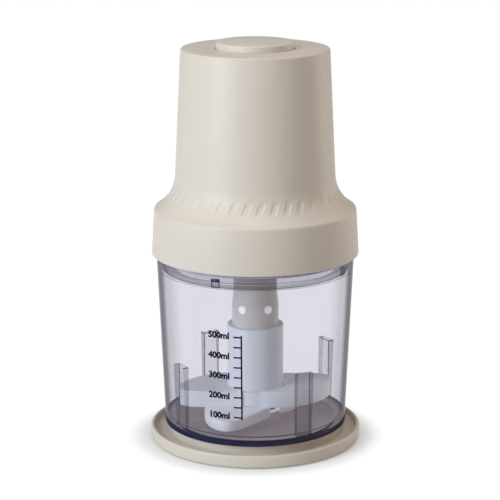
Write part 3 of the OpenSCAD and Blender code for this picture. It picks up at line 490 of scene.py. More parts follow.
def shade(piece, angle=32):
    """Smooth shading with sharp edges past an angle."""
    piece.data.shade_smooth()
    piece.data.set_sharp_from_angle(angle=math.radians(angle))


def from_bmesh(name, shape, recalculate=True):
    """An object from a shape, its doubles merged and its faces turned outwards."""
    bmesh.ops.remove_doubles(shape, verts=shape.verts, dist=TINY)
    if recalculate:
        bmesh.ops.recalc_face_normals(shape, faces=shape.faces)
    mesh = bpy.data.meshes.new(name)
    shape.to_mesh(mesh)
    shape.free()
    return new_object(name, mesh)


def lathe(name, profile, segments):
    """Turns a closed (radius, height) profile about Z into a closed mesh."""
    shape = bmesh.new()
    rings = []
    for radius, height in profile:
        if radius < TINY:
            rings.append([shape.verts.new((0, 0, height))])
            continue
        turns = [2 * math.pi * i / segments for i in range(segments)]
        rings.append([shape.verts.new((radius * math.cos(a), radius * math.sin(a), height)) for a in turns])
    for lower, upper in zip(rings, rings[1:] + rings[:1]):
        for i in range(segments if max(len(lower), len(upper)) > 1 else 0):
            j = (i + 1) % segments
            near = [lower[i % len(lower)], lower[j % len(lower)]]
            far = [upper[j % len(upper)], upper[i % len(upper)]]
            shape.faces.new(dict.fromkeys(near + far))
    return from_bmesh(name, shape)


def turned(name, corners, steps, segments, crease=32):
    """A lathed piece from the corners of its profile, sharp past a crease angle in degrees."""
    piece = lathe(name, outline(corners, steps), segments)
    shade(piece, crease)
    return piece


def prism(name, points, bottom, top, bevel=0.0, segments=3):
    """A flat outline drawn up between two heights, with rounded edges if asked."""
    shape = bmesh.new()
    base = shape.faces.new([shape.verts.new((x, y, bottom)) for x, y in points])
    grown = bmesh.ops.extrude_face_region(shape, geom=[base])
    for vert in (g for g in grown["geom"] if isinstance(g, bmesh.types.BMVert)):
        vert.co.z = top
    piece = from_bmesh(name, shape)
    if bevel:
        rounded = piece.modifiers.new("rounding", "BEVEL")
        rounded.width = bevel
        rounded.segments = segments
        rounded.limit_method = "ANGLE"
        rounded.angle_limit = math.radians(40)
        apply_modifiers(piece)
    return piece


def block(name, lowest, highest, bevel=0.0, segments=2):
    """A box between two corners, its edges rounded."""
    (x0, y0, z0), (x1, y1, z1) = lowest, highest
    return prism(name, [(x0, y0), (x1, y0), (x1, y1), (x0, y1)], z0, z1, bevel, segments)


def evaluated(piece):
    """The mesh that a piece comes to, with its modifiers or its text worked out."""
    depsgraph = bpy.context.evaluated_depsgraph_get()
    return bpy.data.meshes.new_from_object(piece.evaluated_get(depsgraph))


def apply_modifiers(piece):
    """Keeps what a piece's modifiers make of it as its own mesh."""
    mesh = evaluated(piece)
    piece.modifiers.clear()
    piece.data = mesh


def join(name, pieces):
    """One piece from several, each mesh in place."""
    shape = bmesh.new()
    for piece in pieces:
        shape.from_mesh(piece.data)
        bpy.data.objects.remove(piece)
    mesh = bpy.data.meshes.new(name)
    shape.to_mesh(mesh)
    shape.free()
    return new_object(name, mesh)


def cut_away(piece, cutter):
    """Cuts one closed mesh out of another."""
    cutting = piece.modifiers.new("cut", "BOOLEAN")
    cutting.operation = "DIFFERENCE"
    cutting.solver = "EXACT"
    cutting.object = cutter
    apply_modifiers(piece)
    bpy.data.objects.remove(cutter)


def paint(piece, finish):
    """One material over a whole piece."""
    piece.data.materials.clear()
    piece.data.materials.append(finish)
    for polygon in piece.data.polygons:
        polygon.material_index = 0


def dress(piece, slot, body, *nodes):
    """Paints a finished piece with its slot's material, hangs it on its body, and hides the CAD nodes it
    stands for.
    """
    paint(piece, finish_of(slot, *nodes[:1]))
    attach(piece, body)
    if nodes:
        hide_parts(*nodes)


# Geometry node trees -------------------------------------


def geometry_tree(name, inputs, build):
    """A geometry node tree with named inputs: build takes its graph and sockets and returns the result."""
    tree = bpy.data.node_groups.new(name, "GeometryNodeTree")
    tree.interface.new_socket("Geometry", in_out="INPUT", socket_type="NodeSocketGeometry")
    for label, kind in inputs.items():
        tree.interface.new_socket(label, in_out="INPUT", socket_type=kind)
    tree.interface.new_socket("Material", in_out="INPUT", socket_type="NodeSocketMaterial")
    tree.interface.new_socket("Geometry", in_out="OUTPUT", socket_type="NodeSocketGeometry")
    graph = Graph(tree)
    entry = graph.add("NodeGroupInput")
    sockets = {label: entry.out(label) for label in ["Geometry", *inputs, "Material"]}
    made = build(graph, sockets)
    whole = graph.add("GeometryNodeRealizeInstances", None, {"Geometry": made})
    finish = {"Geometry": whole, "Material": sockets["Material"]}
    graph.add("NodeGroupOutput", None, {"Geometry": graph.add("GeometryNodeSetMaterial", None, finish)})
    return tree


def run_tree(piece, tree, slot, values):
    """Runs a geometry tree on a piece with values by input name, and keeps the plain mesh."""
    modifier = piece.modifiers.new(tree.name, "NODES")
    modifier.node_group = tree
    values = {**values, "Material": finish_of(slot)}
    for item in tree.interface.items_tree:
        if item.in_out == "INPUT" and item.name in values:
            modifier[item.identifier] = values[item.name]
    apply_modifiers(piece)


def ring_nodes(graph, sockets):
    """Copies of the incoming mesh, turned evenly about the Z axis."""
    points = graph.add("GeometryNodePoints", None, {"Count": sockets["Count"]})
    index = graph.add("GeometryNodeInputIndex")
    turn = sockets["Start"] + index * sockets["Step"]
    euler = graph.add("ShaderNodeCombineXYZ", None, {"Z": turn})
    rotation = graph.add("FunctionNodeEulerToRotation", None, {0: euler})
    copies = {"Points": points, "Instance": sockets["Geometry"], "Rotation": rotation}
    return graph.add("GeometryNodeInstanceOnPoints", None, copies)


def row_nodes(graph, sockets):
    """Copies of the incoming mesh in a straight row."""
    spacing = {"Count": sockets["Count"], "Start Location": (0, 0, 0), "Offset": sockets["Offset"]}
    line = graph.add("GeometryNodeMeshLine", {"mode": "OFFSET"}, spacing)
    return graph.add("GeometryNodeInstanceOnPoints", None, {"Points": line, "Instance": sockets["Geometry"]})


def flute_nodes(graph, sockets):
    """Sinks slanted flutes into the outer face of a turned shoulder."""
    count, width, lowest, highest = (sockets[name] for name in ("Count", "Width", "Low", "High"))
    x, y, z = graph.split(graph.add("GeometryNodeInputPosition"))
    radius = (x * x + y * y) ** 0.5
    angle = y.math("ARCTAN2", x) + math.pi
    turn = (angle - (z - lowest) * sockets["Slant"]) * count / (2 * math.pi)
    off_centre = abs(turn.math("FRACT") - 0.5)
    distance = off_centre * (2 * math.pi) * radius / count
    groove = 1 - graph.smooth(distance, width * 0.38, width * 0.5)
    run_in = width * 0.7
    ends = graph.smooth(z, lowest, lowest + run_in)
    ends = ends * (1 - graph.smooth(z, highest - run_in, highest))
    normal = graph.add("GeometryNodeInputNormal")
    normal_x, normal_y, normal_z = graph.split(normal)
    outward = (normal_x * x + normal_y * y) / radius + normal_z
    depth = groove * ends * graph.smooth(outward, 0.0, 0.05) * sockets["Depth"]
    offset = graph.add("ShaderNodeVectorMath", {"operation": "SCALE"}, {0: normal, "Scale": depth * -1.0})
    return graph.add("GeometryNodeSetPosition", None, {"Geometry": sockets["Geometry"], "Offset": offset})


WHOLE = "NodeSocketInt"
NUMBER = "NodeSocketFloat"
RING_TREE = geometry_tree("ring_of_copies", {"Count": WHOLE, "Start": NUMBER, "Step": NUMBER}, ring_nodes)
ROW_TREE = geometry_tree("row_of_copies", {"Count": WHOLE, "Offset": "NodeSocketVector"}, row_nodes)
FLUTE_INPUTS = dict.fromkeys(("Count", "Depth", "Width", "Low", "High", "Slant"), NUMBER)
FLUTE_TREE = geometry_tree("slanted_flutes", FLUTE_INPUTS, flute_nodes)


def ring_of(piece, slot, angles):
    """Evenly spaced copies of a piece about the axis, at a first angle and its followers in degrees."""
    step = angles[1] - angles[0]
    values = {"Count": len(angles), "Start": math.radians(angles[0]), "Step": math.radians(step)}
    run_tree(piece, RING_TREE, slot, values)


# Settings ------------------------------------------------


def length(label, description, value):
    """A property for a length in metres."""
    return FloatProperty(name=label, description=description, default=value, unit="LENGTH", precision=4)


def turn_by(label, description, degrees):
    """A property for an angle."""
    return FloatProperty(name=label, description=description, default=math.radians(degrees), unit="ROTATION")


class HeadSettings(bpy.types.PropertyGroup):
    collar_radius: length("Collar radius", "Outer radius at the collar's lower edge", high("head_shell").x)
    collar_taper: length("Collar taper", "How much the collar narrows on the way up", 1.6 * MM)
    collar_height: length("Collar height", "From the collar's lower edge to the shoulder", 26.3 * MM)
    shoulder_rise: length("Shoulder rise", "Rise of the shoulder", 7.3 * MM)
    shoulder_round: length("Shoulder rounding", "Rounding of the shoulder's edge", 2.4 * MM)
    waist_round: length("Waist rounding", "Rounding where the shoulder meets the housing", 23 * MM)
    body_radius: length("Body radius", "Outer radius at the foot of the housing", 46.65 * MM)
    top_radius: length("Top radius", "Outer radius at the top of the housing", 42.45 * MM)
    wall: length("Wall", "Wall of the shell", 2.0 * MM)
    flutes: IntProperty(name="Flutes", description="Flutes round the shoulder", default=40, min=0, max=60)
    flute_depth: length("Flute depth", "Depth of a flute", 0.32 * MM)
    flute_width: length("Flute width", "Width of a flute", 3.6 * MM)


class BowlSettings(bpy.types.PropertyGroup):
    foot_radius: length("Foot radius", "Outer radius of the bowl at its foot", 53.2 * MM)
    rim_radius: length("Rim radius", "Outer radius of the bowl at its rim", high("bowl").x)
    wall: length("Wall", "Wall of the bowl", 2.4 * MM)
    floor: length("Floor", "Thickness of the floor", 2.2 * MM)
    rib_height: length("Rib height", "Height of the ribs above the floor", 36.7 * MM)
    rib_width: length("Rib width", "Width of a rib", 10.5 * MM)
    rib_radius: length("Rib radius", "Radius inside the ribs", 48.8 * MM)
    ink_colour: FloatVectorProperty(
        name="Scale ink",
        description="Colour of the printed scale",
        subtype="COLOR",
        default=(0.004, 0.004, 0.012),
    )


class BladeSettings(bpy.types.PropertyGroup):
    sweep: length("Sweep", "Sweep radius of the guards", 45.6 * MM)
    edge_radius: length("Edge arc", "Radius of the curved leading edge", 35.0 * MM)
    rounding: FloatProperty(
        name="Rounding",
        description="Rounding of the guards' edges as a share of their height",
        default=0.42,
        min=0.05,
        max=0.45,
    )


class StageSettings(bpy.types.PropertyGroup):
    camera_turn: turn_by("Camera turn", "Turn of the camera about the object", 12)
    camera_pitch: turn_by("Camera pitch", "How far the camera looks down", 14)
    camera_distance: length("Camera distance", "From the camera to the object's middle", 1.1258)


class Maker(bpy.types.Operator):
    """Base of the operators: each makes one piece or one group of like pieces."""

    bl_options = {"REGISTER", "UNDO"}

    def execute(self, context):
        self.make(context.scene)
        return {"FINISHED"}


# Stand ---------------------------------------------------


class PROCESSOR_OT_stand(Maker):
    """Make the moulded stand tray"""

    bl_idname = "processor.stand"
    bl_label = "Stand"

    def make(self, scene):
        rim = high("base_tray").x / MM
        under = low("base_tray").z / MM
        wall = 2.2
        lip_top = 7.8
        floor = 4.6
        seat = low("bowl").z / MM
        foot = scene.processor_bowl.foot_radius / MM
        ring = (high("foot_ring").x - low("foot_ring").x) / MM / 2
        hollow = foot - 5.0
        ledge = foot - 2.8
        boss = foot - 6.8
        corners = [
            (0, under + 7.0, 0),
            (hollow, under + 7.0, 0.8),
            (hollow, under, 0.4),
            (ring - 5.3, under, 0.3),
            (ring - 5.3, floor - wall, 0),
            (ring + 0.3, floor - wall, 0),
            (ring + 0.3, under, 0.3),
            (rim, under, 1.0),
            (rim, lip_top, 0.95),
            (rim - wall, lip_top, 0.95),
            (rim - wall, floor, 0.9),
            (ledge, floor, 0.6),
            (ledge, seat, 0.4),
            (boss, seat, 0.3),
            (boss, seat + 1.2, 0.4),
            (0, seat + 1.2, 0),
        ]
        tray = turned("stand_tray", corners, 5, 256)
        dress(tray, "stand_plastic", "stand", "base_tray")


# Bowl ----------------------------------------------------

# In mm: the upright foot below the bowl's slope, and the upright band under its rim
BOWL_STRAIGHT = 7.1
BOWL_BAND = 11.8
RIB_ANGLES = (45, 135, 225, 315)
LUG_ANGLES = (-12, 78, 168, 258)


class PROCESSOR_OT_bowl(Maker):
    """Make the clear bowl with its four ribs"""

    bl_idname = "processor.bowl"
    bl_label = "Bowl"

    def make(self, scene):
        own = scene.processor_bowl
        foot_r, rim_r, wall = own.foot_radius / MM, own.rim_radius / MM, own.wall / MM
        foot, rim = low("bowl").z / MM, high("bowl").z / MM
        under = foot + 1.7
        floor = under + own.floor / MM
        band = rim - BOWL_BAND
        slope = foot + BOWL_STRAIGHT
        heel = foot_r - 6.4
        pin_r, boss = 3.02, floor + 2.5
        corners = [
            (0, under, 0),
            (heel, under, 0.6),
            (heel, foot, 0.5),
            (foot_r, foot, 0.8),
            (foot_r, slope, 20),
            (rim_r, band, 20),
            (rim_r, rim, 0.7),
            (rim_r - wall, rim, 0.5),
            (rim_r - wall, band, 20),
            (foot_r - wall, slope, 20),
            (foot_r - wall, floor, 2.4),
            (8.2, floor, 1.0),
            (6.6, boss, 0.4),
            (pin_r, boss, 0),
            (pin_r, floor, 0),
            (0, floor, 0),
        ]
        shell = turned("bowl_shell", corners, 6, 256, crease=40)
        reach = foot_r - wall + 0.3
        half_w = own.rib_width / MM / 2
        lowest = mm(own.rib_radius / MM, -half_w, floor - 0.3)
        highest = mm(reach + 1.2, half_w, floor + own.rib_height / MM)
        rib = block("bowl_rib", lowest, highest, 0.5 * MM)
        # The rib's outer face follows the lean of the wall
        lean = (rim_r - foot_r) / (band - slope)
        for vert in rib.data.vertices:
            if vert.co.x > (reach - 1) * MM:
                vert.co.x = (reach + max(0.0, vert.co.z / MM - slope) * lean) * MM
        ring_of(rib, "clear_plastic", RIB_ANGLES)
        shade(rib, 40)
        dress(join("bowl_body", [shell, rib]), "clear_plastic", "bowl_body", "bowl")


class PROCESSOR_OT_scale(Maker):
    """Print the measuring scale on the front of the bowl"""

    bl_idname = "processor.scale"
    bl_label = "Measuring scale"

    # Turn of its upright line about the axis, heights of its first and last mark, and sizes of the print
    line_turn = math.radians(3.95)
    first, last = mm(27.8, 75.5)
    marks = 9
    stroke, tick, proud = mm(0.9, 4.6, 0.06)
    numeral_size, numeral_right, numeral_rise, numeral_weight = mm(5.1, -6.9, 0.5, 0.25)

    def radius(self, scene, z):
        """Outer radius of the bowl at a height."""
        own = scene.processor_bowl
        foot, rim = low("bowl").z, high("bowl").z
        start, end = foot + BOWL_STRAIGHT * MM, rim - BOWL_BAND * MM
        share = max(0.0, min(1.0, (z - start) / (end - start)))
        return own.foot_radius + (own.rim_radius - own.foot_radius) * share

    def wrap(self, scene, piece):
        """Lays a mesh drawn flat in X and Z, with Y as its thickness, on the bowl's outer wall."""
        for vert in piece.data.vertices:
            wall = self.radius(scene, vert.co.z)
            turn = vert.co.x / wall + self.line_turn
            out = wall + vert.co.y
            vert.co = Vector((out * math.sin(turn), -out * math.cos(turn), vert.co.z))

    def bar(self, name, left, right, bottom, top, across):
        """A thin bar cut into short lengths, so that it bends with the wall."""
        shape = bmesh.new()
        verts = []
        for side in (0.0, self.proud):
            for i in range(across + 1):
                x = left + (right - left) * i / across
                verts += [shape.verts.new((x, side, z)) for z in (bottom, top)]
        row = 2 * (across + 1)
        faces = [(a, a + 1, a + 1 + row, a + row) for a in (0, row - 2)]
        for a in range(0, row - 2, 2):
            faces += [(b, b + 1, b + 3, b + 2) for b in (a, a + row)]
            faces += [(b, b + 2, b + row + 2, b + row) for b in (a, a + 1)]
        for corners in faces:
            shape.faces.new([verts[k] for k in corners])
        return from_bmesh(name, shape)

    def numeral(self, text, right, z):
        """A flat mark in letters and figures that ends at a place across and lies at a height."""
        curve = bpy.data.curves.new(text, "FONT")
        curve.body = text
        curve.size = self.numeral_size
        curve.align_x = "RIGHT"
        curve.align_y = "CENTER"
        curve.offset = self.numeral_weight
        curve.resolution_u = 3
        drawn = new_object(text, curve)
        shape = bmesh.new()
        shape.from_mesh(evaluated(drawn))
        bpy.data.objects.remove(drawn)
        for vert in shape.verts:
            vert.co = Vector((vert.co.x + right, self.proud, vert.co.y + z))
        numeral = from_bmesh("numeral_" + text, shape, recalculate=False)
        for polygon in numeral.data.polygons:
            if polygon.normal.y > 0:
                polygon.flip()
        return numeral

    def make(self, scene):
        pitch = (self.last - self.first) / (self.marks - 1)
        half = self.stroke / 2
        ticks = self.bar("tick", -self.tick, 0, self.first - half, self.first + half, 6)
        run_tree(ticks, ROW_TREE, "dark_plastic", {"Count": self.marks, "Offset": (0, 0, pitch)})
        spine = self.bar("spine", -half, half, self.first - 1.3 * MM, self.last + 1.1 * MM, 1)
        heights = [self.first + 2 * pitch * i + self.numeral_rise for i in range(5)]
        numerals = [self.numeral(f"{100 * (i + 1)}ml", self.numeral_right, z) for i, z in enumerate(heights)]
        printed = join("bowl_scale", [ticks, spine, *numerals])
        self.wrap(scene, printed)
        dress(printed, "dark_plastic", "bowl_body")
        paint(printed, material("scale_ink", ink, tuple(scene.processor_bowl.ink_colour)))


# Blade set -----------------------------------------------


def ray_at(turn):
    """A direction in the plan view."""
    return Vector((math.cos(turn), math.sin(turn)))


def wing_outline(own, root):
    """Plan of one curved guard: a sweep circle, a curved leading edge and a straight trailing edge."""
    # Centre of the leading edge's arc, place of the trailing edge, and where the guard starts and ends
    centre = Vector(mm(11.0, 16.0))
    back = 17.4 * MM
    first, last = math.radians(-82), math.radians(66)
    steps, root_steps, spread = 72, 24, 3
    rays = [ray_at(first + (last - first) * i / steps) for i in range(steps + 1)]
    reaches = []
    for ray in rays:
        along = ray.dot(centre)
        reach = along + math.sqrt(max(0.0, along**2 - centre.length_squared + own.edge_radius**2))
        if ray.y > 0:
            reach = min(reach, back / ray.y)
        reaches.append(min(own.sweep, reach))
    outer = []
    for i, ray in enumerate(rays):
        near = reaches[max(0, i - spread) : i + spread + 1]
        outer.append(ray * (sum(near) / len(near)))
    inner = [ray_at(last + (first - last) * i / root_steps) * root for i in range(root_steps + 1)]
    return outer + inner


class PROCESSOR_OT_guards(Maker):
    """Make the curved white guards over the upper and the lower blade"""

    bl_idname = "processor.guards"
    bl_label = "Blade guards"

    def make(self, scene):
        own = scene.processor_blade
        # node, turn of its first wing in degrees, radius at its root in mm
        for node, turn, root in (("upper_guards", 12, 18.6), ("lower_guards", -117, 15.95)):
            bottom, top = low(node).z, high(node).z
            plan = wing_outline(own, root * MM)
            guard = prism(node, plan, bottom, top, own.rounding * (top - bottom), 6)
            ring_of(guard, "hub_plastic", (turn, turn + 180))
            shade(guard, 38)
            guard.name = node[:-1] + "_shells"
            dress(guard, "hub_plastic", "blade", node)


class PROCESSOR_OT_hub(Maker):
    """Make the white hub tube, with its two windows, and the frosted neck above it"""

    bl_idname = "processor.hub"
    bl_label = "Hub and neck"

    def make(self, scene):
        radius = high("blade_hub").x / MM
        bottom, top = high("upper_blade").z / MM, high("blade_hub").z / MM
        under = low("upper_guards").z / MM
        stem, wall = 11.02, 1.5
        tube = radius - 1.8
        skirt = radius - 0.4
        neck_r = high("neck_sleeve").x / MM
        corners = [
            (stem, bottom, 0),
            (stem + 4.9, bottom, 0),
            (stem + 4.9, under, 0),
            (skirt, under, 0.6),
            (skirt, bottom + 0.4, 0),
            (radius, bottom + 0.8, 0.2),
            (radius, bottom + 3.6, 0.8),
            (tube, bottom + 5.0, 1.6),
            (tube, top, 0.4),
            (neck_r + 0.3, top, 0.3),
            (neck_r + 0.3, top - wall, 0),
            (tube - wall, top - wall, 0),
            (tube - wall, bottom + 4.6, 0.8),
            (stem, bottom + 4.6, 0),
        ]
        hub = turned("hub_tube", corners, 5, 192)
        for side in (-1, 1):
            x0, x1 = sorted((side * (tube - wall), side * (tube + 3)))
            window = mm(x0, -2.2, bottom + 3.2), mm(x1, 2.2, bottom + 6.4)
            cut_away(hub, block("window", *window))
        shade(hub, 35)
        dress(hub, "hub_plastic", "blade", "blade_hub")
        base, end = low("neck_sleeve").z / MM, high("neck_sleeve").z / MM
        step = end - 37.4
        slim = neck_r - 0.9
        corners = [
            (stem, base, 0),
            (neck_r, base, 0.3),
            (neck_r, step, 9),
            (slim, step + 8, 9),
            (slim, end, 0.5),
            (stem, end, 0.2),
        ]
        neck = turned("neck_tube", corners, 6, 160, crease=35)
        dress(neck, "neck_plastic", "blade", "neck_sleeve")


# Lid -----------------------------------------------------


class PROCESSOR_OT_lid(Maker):
    """Make the clear inner lid, its lugs and its seal"""

    bl_idname = "processor.lid"
    bl_label = "Lid and seal"

    def make(self, scene):
        own = scene.processor_bowl
        rim = high("bowl").z / MM
        top, base = high("bowl_lid").z / MM, low("bowl_lid").z / MM
        bore = (own.rim_radius - own.wall) / MM
        flange = own.rim_radius / MM - 0.2
        skirt, lip = bore - 0.4, bore - 0.25
        wall = 1.8
        groove = skirt - 0.9
        seal = low("lid_seal").z / MM
        seal_top = seal + 3
        hole = high("neck_sleeve").x / MM - 0.3
        corners = [
            (hole, base, 0.3),
            (skirt, base, 0.5),
            (skirt, seal, 0.1),
            (groove, seal, 0),
            (groove, seal_top, 0),
            (skirt, seal_top, 0.1),
            (skirt, rim, 0),
            (flange, rim, 0.3),
            (flange, top, 0.5),
            (skirt - wall, top, 0.3),
            (skirt - wall, base + 2, 1.0),
            (hole + wall, base + 2, 0.8),
            (hole + wall, rim - 2, 0.4),
            (hole, rim - 2, 0.4),
        ]
        disc = turned("lid_disc", corners, 5, 224, crease=38)
        lug = block("lug", mm(skirt - 0.3, -2.5, base), mm(skirt + 1.0, 2.5, base + 5), 0.3 * MM)
        ring_of(lug, "clear_plastic", LUG_ANGLES)
        shade(lug, 38)
        dress(join("lid_body", [disc, lug]), "clear_plastic", "lid", "bowl_lid")
        corners = [
            (groove, seal, 0),
            (lip, seal + 0.1, 0.25),
            (lip, seal + 0.9, 0.25),
            (lip - 0.6, seal + 1.2, 0.2),
            (lip - 0.6, seal + 1.8, 0.2),
            (lip, seal + 2.1, 0.25),
            (lip, seal + 2.9, 0.25),
            (groove, seal_top, 0),
        ]
        ring = turned("seal_ring", corners, 4, 224, crease=40)
        dress(ring, "seal_rubber", "lid", "lid_seal")


# Head ----------------------------------------------------


class PROCESSOR_OT_head(Maker):
    """Make the moulded head with its fluted shoulder and its charging recess"""

    bl_idname = "processor.head"
    bl_label = "Head"

    def make(self, scene):
        own = scene.processor_head
        bottom, top = low("head_shell").z / MM, high("head_shell").z / MM
        collar = own.collar_radius / MM
        shoulder_r = collar - own.collar_taper / MM
        shoulder = bottom + own.collar_height / MM
        body_r, body = own.body_radius / MM, shoulder + own.shoulder_rise / MM
        top_r, wall = own.top_radius / MM, own.wall / MM
        hole, thick_top = 22.85, 2.2
        waist_round = own.waist_round / MM
        corners = [
            (collar, bottom, 0.35),
            (shoulder_r, shoulder, own.shoulder_round / MM),
            (body_r, body, waist_round),
            (top_r, top, 1.1),
            (hole, top, 0.35),
            (hole, top - thick_top, 0),
            (top_r - wall, top - thick_top, 1.0),
            (body_r - wall, body - 0.9, waist_round + wall),
            (shoulder_r - wall, shoulder - 1.3, 0),
            (collar - 1.8, bottom, 0.3),
        ]
        shell = lathe("head_housing", outline(corners, 28), 720)
        fluted_radius, slant = 51 * MM, math.radians(23.5)
        flutes = {
            "Count": float(own.flutes),
            "Depth": own.flute_depth,
            "Width": own.flute_width,
            "Low": (shoulder + 5.0) * MM,
            "High": (body + 6.0) * MM,
            "Slant": math.tan(slant) / fluted_radius,
        }
        run_tree(shell, FLUTE_TREE, "head_plastic", flutes)
        surround = self.charging_recess(shell)
        dress(join("head_housing", [shell, surround]), "head_plastic", "head", "head_shell")

    def charging_recess(self, shell):
        """Cuts the recess and the lens's hole into the shell, and makes the plate behind the recess."""
        face = low("port_cover").y / MM - 0.3
        middle = (low("port_cover").z + high("port_cover").z) / MM / 2
        lens = (low("indicator_lens").x + high("indicator_lens").x) / 2
        half_w, half_h, border, deep = 8, 5.5, 1.5, 20
        low_z, high_z = middle - half_h, middle + half_h
        lowest, highest = mm(-half_w, face, low_z), mm(half_w, face + deep, high_z)
        cut_away(shell, block("recess", lowest, highest, 0.8 * MM, 3))
        lens_r, start, end = mm(1.3, face - 10, face + deep)
        drill = lathe("drill", [(0, start), (lens_r, start), (lens_r, end), (0, end)], 32)
        upright = Matrix.Rotation(math.radians(-90), 4, "X")
        drill.data.transform(Matrix.Translation((lens, 0, middle * MM)) @ upright)
        cut_away(shell, drill)
        shade(shell, 30)
        lowest = mm(-half_w - border, face - 3, low_z - border)
        highest = mm(half_w + border, face, high_z + border)
        surround = block("surround", lowest, highest, 0.3 * MM)
        plug_w, plug_h = 4.7, 1.8
        lowest, highest = mm(-plug_w, face - 9, middle - plug_h), mm(plug_w, face + 9, middle + plug_h)
        cut_away(surround, block("slot", lowest, highest, 1.2 * MM, 4))
        shade(surround, 30)
        return surround


class PROCESSOR_OT_button(Maker):
    """Make the round push button and the spring under it"""

    bl_idname = "processor.button"
    bl_label = "Push button"

    def make(self, scene):
        top = high("push_button").z / MM
        tip = low("push_button").z / MM
        outer, wall = high("push_button").x / MM, 2
        radius = outer - 2.2
        flange = high("head_shell").z / MM - 4.5
        corners = [
            (0, tip, 0),
            (3, tip, 0.8),
            (3, top - wall, 0.5),
            (radius - wall, top - wall, 0.5),
            (radius - wall, flange, 0),
            (outer, flange, 0.3),
            (outer, flange + wall, 0.3),
            (radius, flange + wall, 0),
            (radius, top - 0.25, 0.8),
            (0, top, 0),
        ]
        button = turned("button_cap", corners, 6, 192, crease=35)
        dress(button, "button_plastic", "button", "push_button")
        self.return_spring()

    def return_spring(self):
        """The coil under the button, copied from the frame's spring with its doubles merged; the real coil
        shortens as the button goes down, but this copy keeps its length.
        """
        coil = frame["nodes"]["button_spring"]
        shape = bmesh.new()
        shape.from_mesh(coil.data)
        shape.transform(coil.matrix_world)
        spring = from_bmesh("return_spring", shape, recalculate=False)
        shade(spring, 60)
        dress(spring, "turned_steel", "head", "button_spring")
        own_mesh(spring)


class PROCESSOR_OT_port_cover(Maker):
    """Make the rubber flap over the charging port"""

    bl_idname = "processor.port_cover"
    bl_label = "Port cover"

    def make(self, scene):
        lowest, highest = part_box("port_cover")
        flap = block("port_flap_cover", lowest, highest, 0.35 * MM, 3)
        outer, under = highest.y / MM, lowest.z / MM
        half_w = 2.6
        lowest, highest = mm(-half_w, outer - 0.1, under + 0.9), mm(half_w, outer + 0.35, under + 1.9)
        grip = block("grip", lowest, highest, 0.15 * MM)
        piece = join("port_flap_cover", [flap, grip])
        shade(piece)
        dress(piece, "seal_rubber", "port_flap", "port_cover")


class PROCESSOR_OT_inner_parts(Maker):
    """Finish the parts kept from the frame: gearbox, motor, cells, boards, blades and screws"""

    bl_idname = "processor.inner_parts"
    bl_label = "Inner parts"

    def make(self, scene):
        slots = {part["node"]: part["material_slot"] for part in frame["record"]["subparts"]}
        for node, piece in frame["nodes"].items():
            for index in range(len(piece.material_slots)):
                piece.material_slots[index].material = finish_of(slots[node], node)


# Stage ---------------------------------------------------

WARM_FILL = (1, 0.78, 0.55)


def floor_paint(graph):
    """Plain pale floor: matt, and seen as white except close round the stand, where the matt floor shows its
    real shadow and a painted grey ring.
    """
    tone = graph.shades(graph.noise(3.0, 2.0), WHITE, 0.8, 0.84)
    matt = graph.principled({"Base Color": tone, "Roughness": 0.8, "Specular IOR Level": 0.1})
    x, y, _ = graph.split(graph.place())
    radius = (x * x + y * y) ** 0.5
    edge = high("base_tray").x
    # Painted shade: near the stand the camera sees mostly the matt floor, greyer than the white beyond,
    # fading out 18 mm past the stand's edge
    share = 0.12 + graph.smooth(radius, edge - 6 * MM, edge + 18 * MM) * 0.8
    seen = graph.rays("Camera", "Glossy", "Transmission")
    white = graph.add("ShaderNodeEmission", None, {"Color": rgba(WHITE), "Strength": 1.08})
    return graph.mix_shader(seen * share, matt, white)


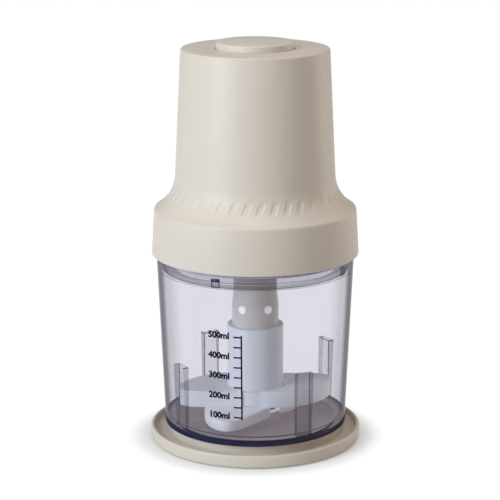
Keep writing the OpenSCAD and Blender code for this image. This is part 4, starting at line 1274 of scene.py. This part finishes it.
class PROCESSOR_OT_stage(Maker):
    """Set the floor, the soft lights, the plain surroundings and the camera"""

    bl_idname = "processor.stage"
    bl_label = "Stage"

    # name, place, width, height, power in watts, colour
    lamps = (
        ("key", (-0.95, -1.16, 0.68), 0.6, 1.3, 18.8, (0.805, 0.905, 1.0)),
        ("overhead", (0.1, -0.25, 1.5), 0.9, 0.9, 8.5, (1.0, 0.97, 0.935)),
        ("rim", (0.95, 0.75, 0.45), 0.3, 1.0, 3.6, (1.0, 0.93, 0.87)),
    )
    lit_point = (0, 0, 0.13)
    seen_point = (0, 0, 0.1122)
    sensor, lens, shift = 36.0, 139.75, -0.0106
    floor_reach = 6.0

    def make(self, scene):
        floor_mesh = bmesh.new()
        bmesh.ops.create_grid(floor_mesh, x_segments=1, y_segments=1, size=self.floor_reach)
        floor = from_bmesh("floor", floor_mesh, recalculate=False)
        floor.data.materials.append(material("floor_paint", floor_paint))
        scene.world = self.surroundings()
        for name, place, width, depth, power, colour in self.lamps:
            data = bpy.data.lights.new(name, "AREA")
            data.shape = "RECTANGLE"
            data.size, data.size_y, data.energy = width, depth, power
            data.color = colour
            self.aim(new_object(name, data), Vector(place), Vector(self.lit_point))
        self.camera(scene)
        scene.view_settings.view_transform = "Standard"

    def aim(self, piece, place, target):
        """Puts a lamp or the camera at a place, and points it at a target."""
        piece.location = place
        piece.rotation_euler = (target - piece.location).to_track_quat("-Z", "Y").to_euler()

    def surroundings(self):
        """White to look at and in what the clear parts show, but a faint warm fill light."""
        world = bpy.data.worlds.new("surroundings")
        world.use_nodes = True
        graph = Graph(world.node_tree)
        seen, glossy = graph.rays("Camera", "Transmission"), graph.rays("Glossy")
        strength = 0.1 + seen * 0.9 + glossy * 0.2
        tone = graph.blend(seen.math("MAXIMUM", glossy), rgba(WARM_FILL), rgba(WHITE))
        sky = graph.add("ShaderNodeBackground", None, {"Color": tone, "Strength": strength})
        graph.add("ShaderNodeOutputWorld", None, {"Surface": sky})
        return world

    def camera(self, scene):
        own = scene.processor_stage
        target = Vector(self.seen_point)
        away = own.camera_distance * math.cos(own.camera_pitch)
        data = bpy.data.cameras.new("camera")
        data.sensor_width, data.lens, data.shift_x = self.sensor, self.lens, self.shift
        scene.camera = new_object("camera", data)
        across, back = away * math.sin(own.camera_turn), -away * math.cos(own.camera_turn)
        raised = own.camera_distance * math.sin(own.camera_pitch)
        self.aim(scene.camera, target + Vector((across, back, raised)), target)


class PROCESSOR_PT_panel(bpy.types.Panel):
    bl_label = "Mini food processor"
    bl_idname = "PROCESSOR_PT_panel"
    bl_space_type = "VIEW_3D"
    bl_region_type = "UI"
    bl_category = "Processor"

    def draw(self, context):
        for name, group in SETTINGS.items():
            box = self.layout.box()
            for field in group.__annotations__:
                box.prop(getattr(context.scene, name), field)
        for maker in MAKERS:
            self.layout.operator(maker.bl_idname)


MAKERS = (
    PROCESSOR_OT_stage,
    PROCESSOR_OT_stand,
    PROCESSOR_OT_bowl,
    PROCESSOR_OT_scale,
    PROCESSOR_OT_guards,
    PROCESSOR_OT_hub,
    PROCESSOR_OT_lid,
    PROCESSOR_OT_head,
    PROCESSOR_OT_button,
    PROCESSOR_OT_port_cover,
    PROCESSOR_OT_inner_parts,
)
SETTINGS = {
    "processor_head": HeadSettings,
    "processor_bowl": BowlSettings,
    "processor_blade": BladeSettings,
    "processor_stage": StageSettings,
}
CLASSES = (*SETTINGS.values(), *MAKERS, PROCESSOR_PT_panel)


def register():
    for entry in CLASSES:
        bpy.utils.register_class(entry)
    for name, group in SETTINGS.items():
        setattr(bpy.types.Scene, name, PointerProperty(type=group))


def unregister():
    for name in SETTINGS:
        delattr(bpy.types.Scene, name)
    for entry in reversed(CLASSES):
        bpy.utils.unregister_class(entry)


def main():
    register()
    for maker in MAKERS:
        group, name = maker.bl_idname.split(".")
        getattr(getattr(bpy.ops, group), name)()


if __name__ == "__main__":
    main()
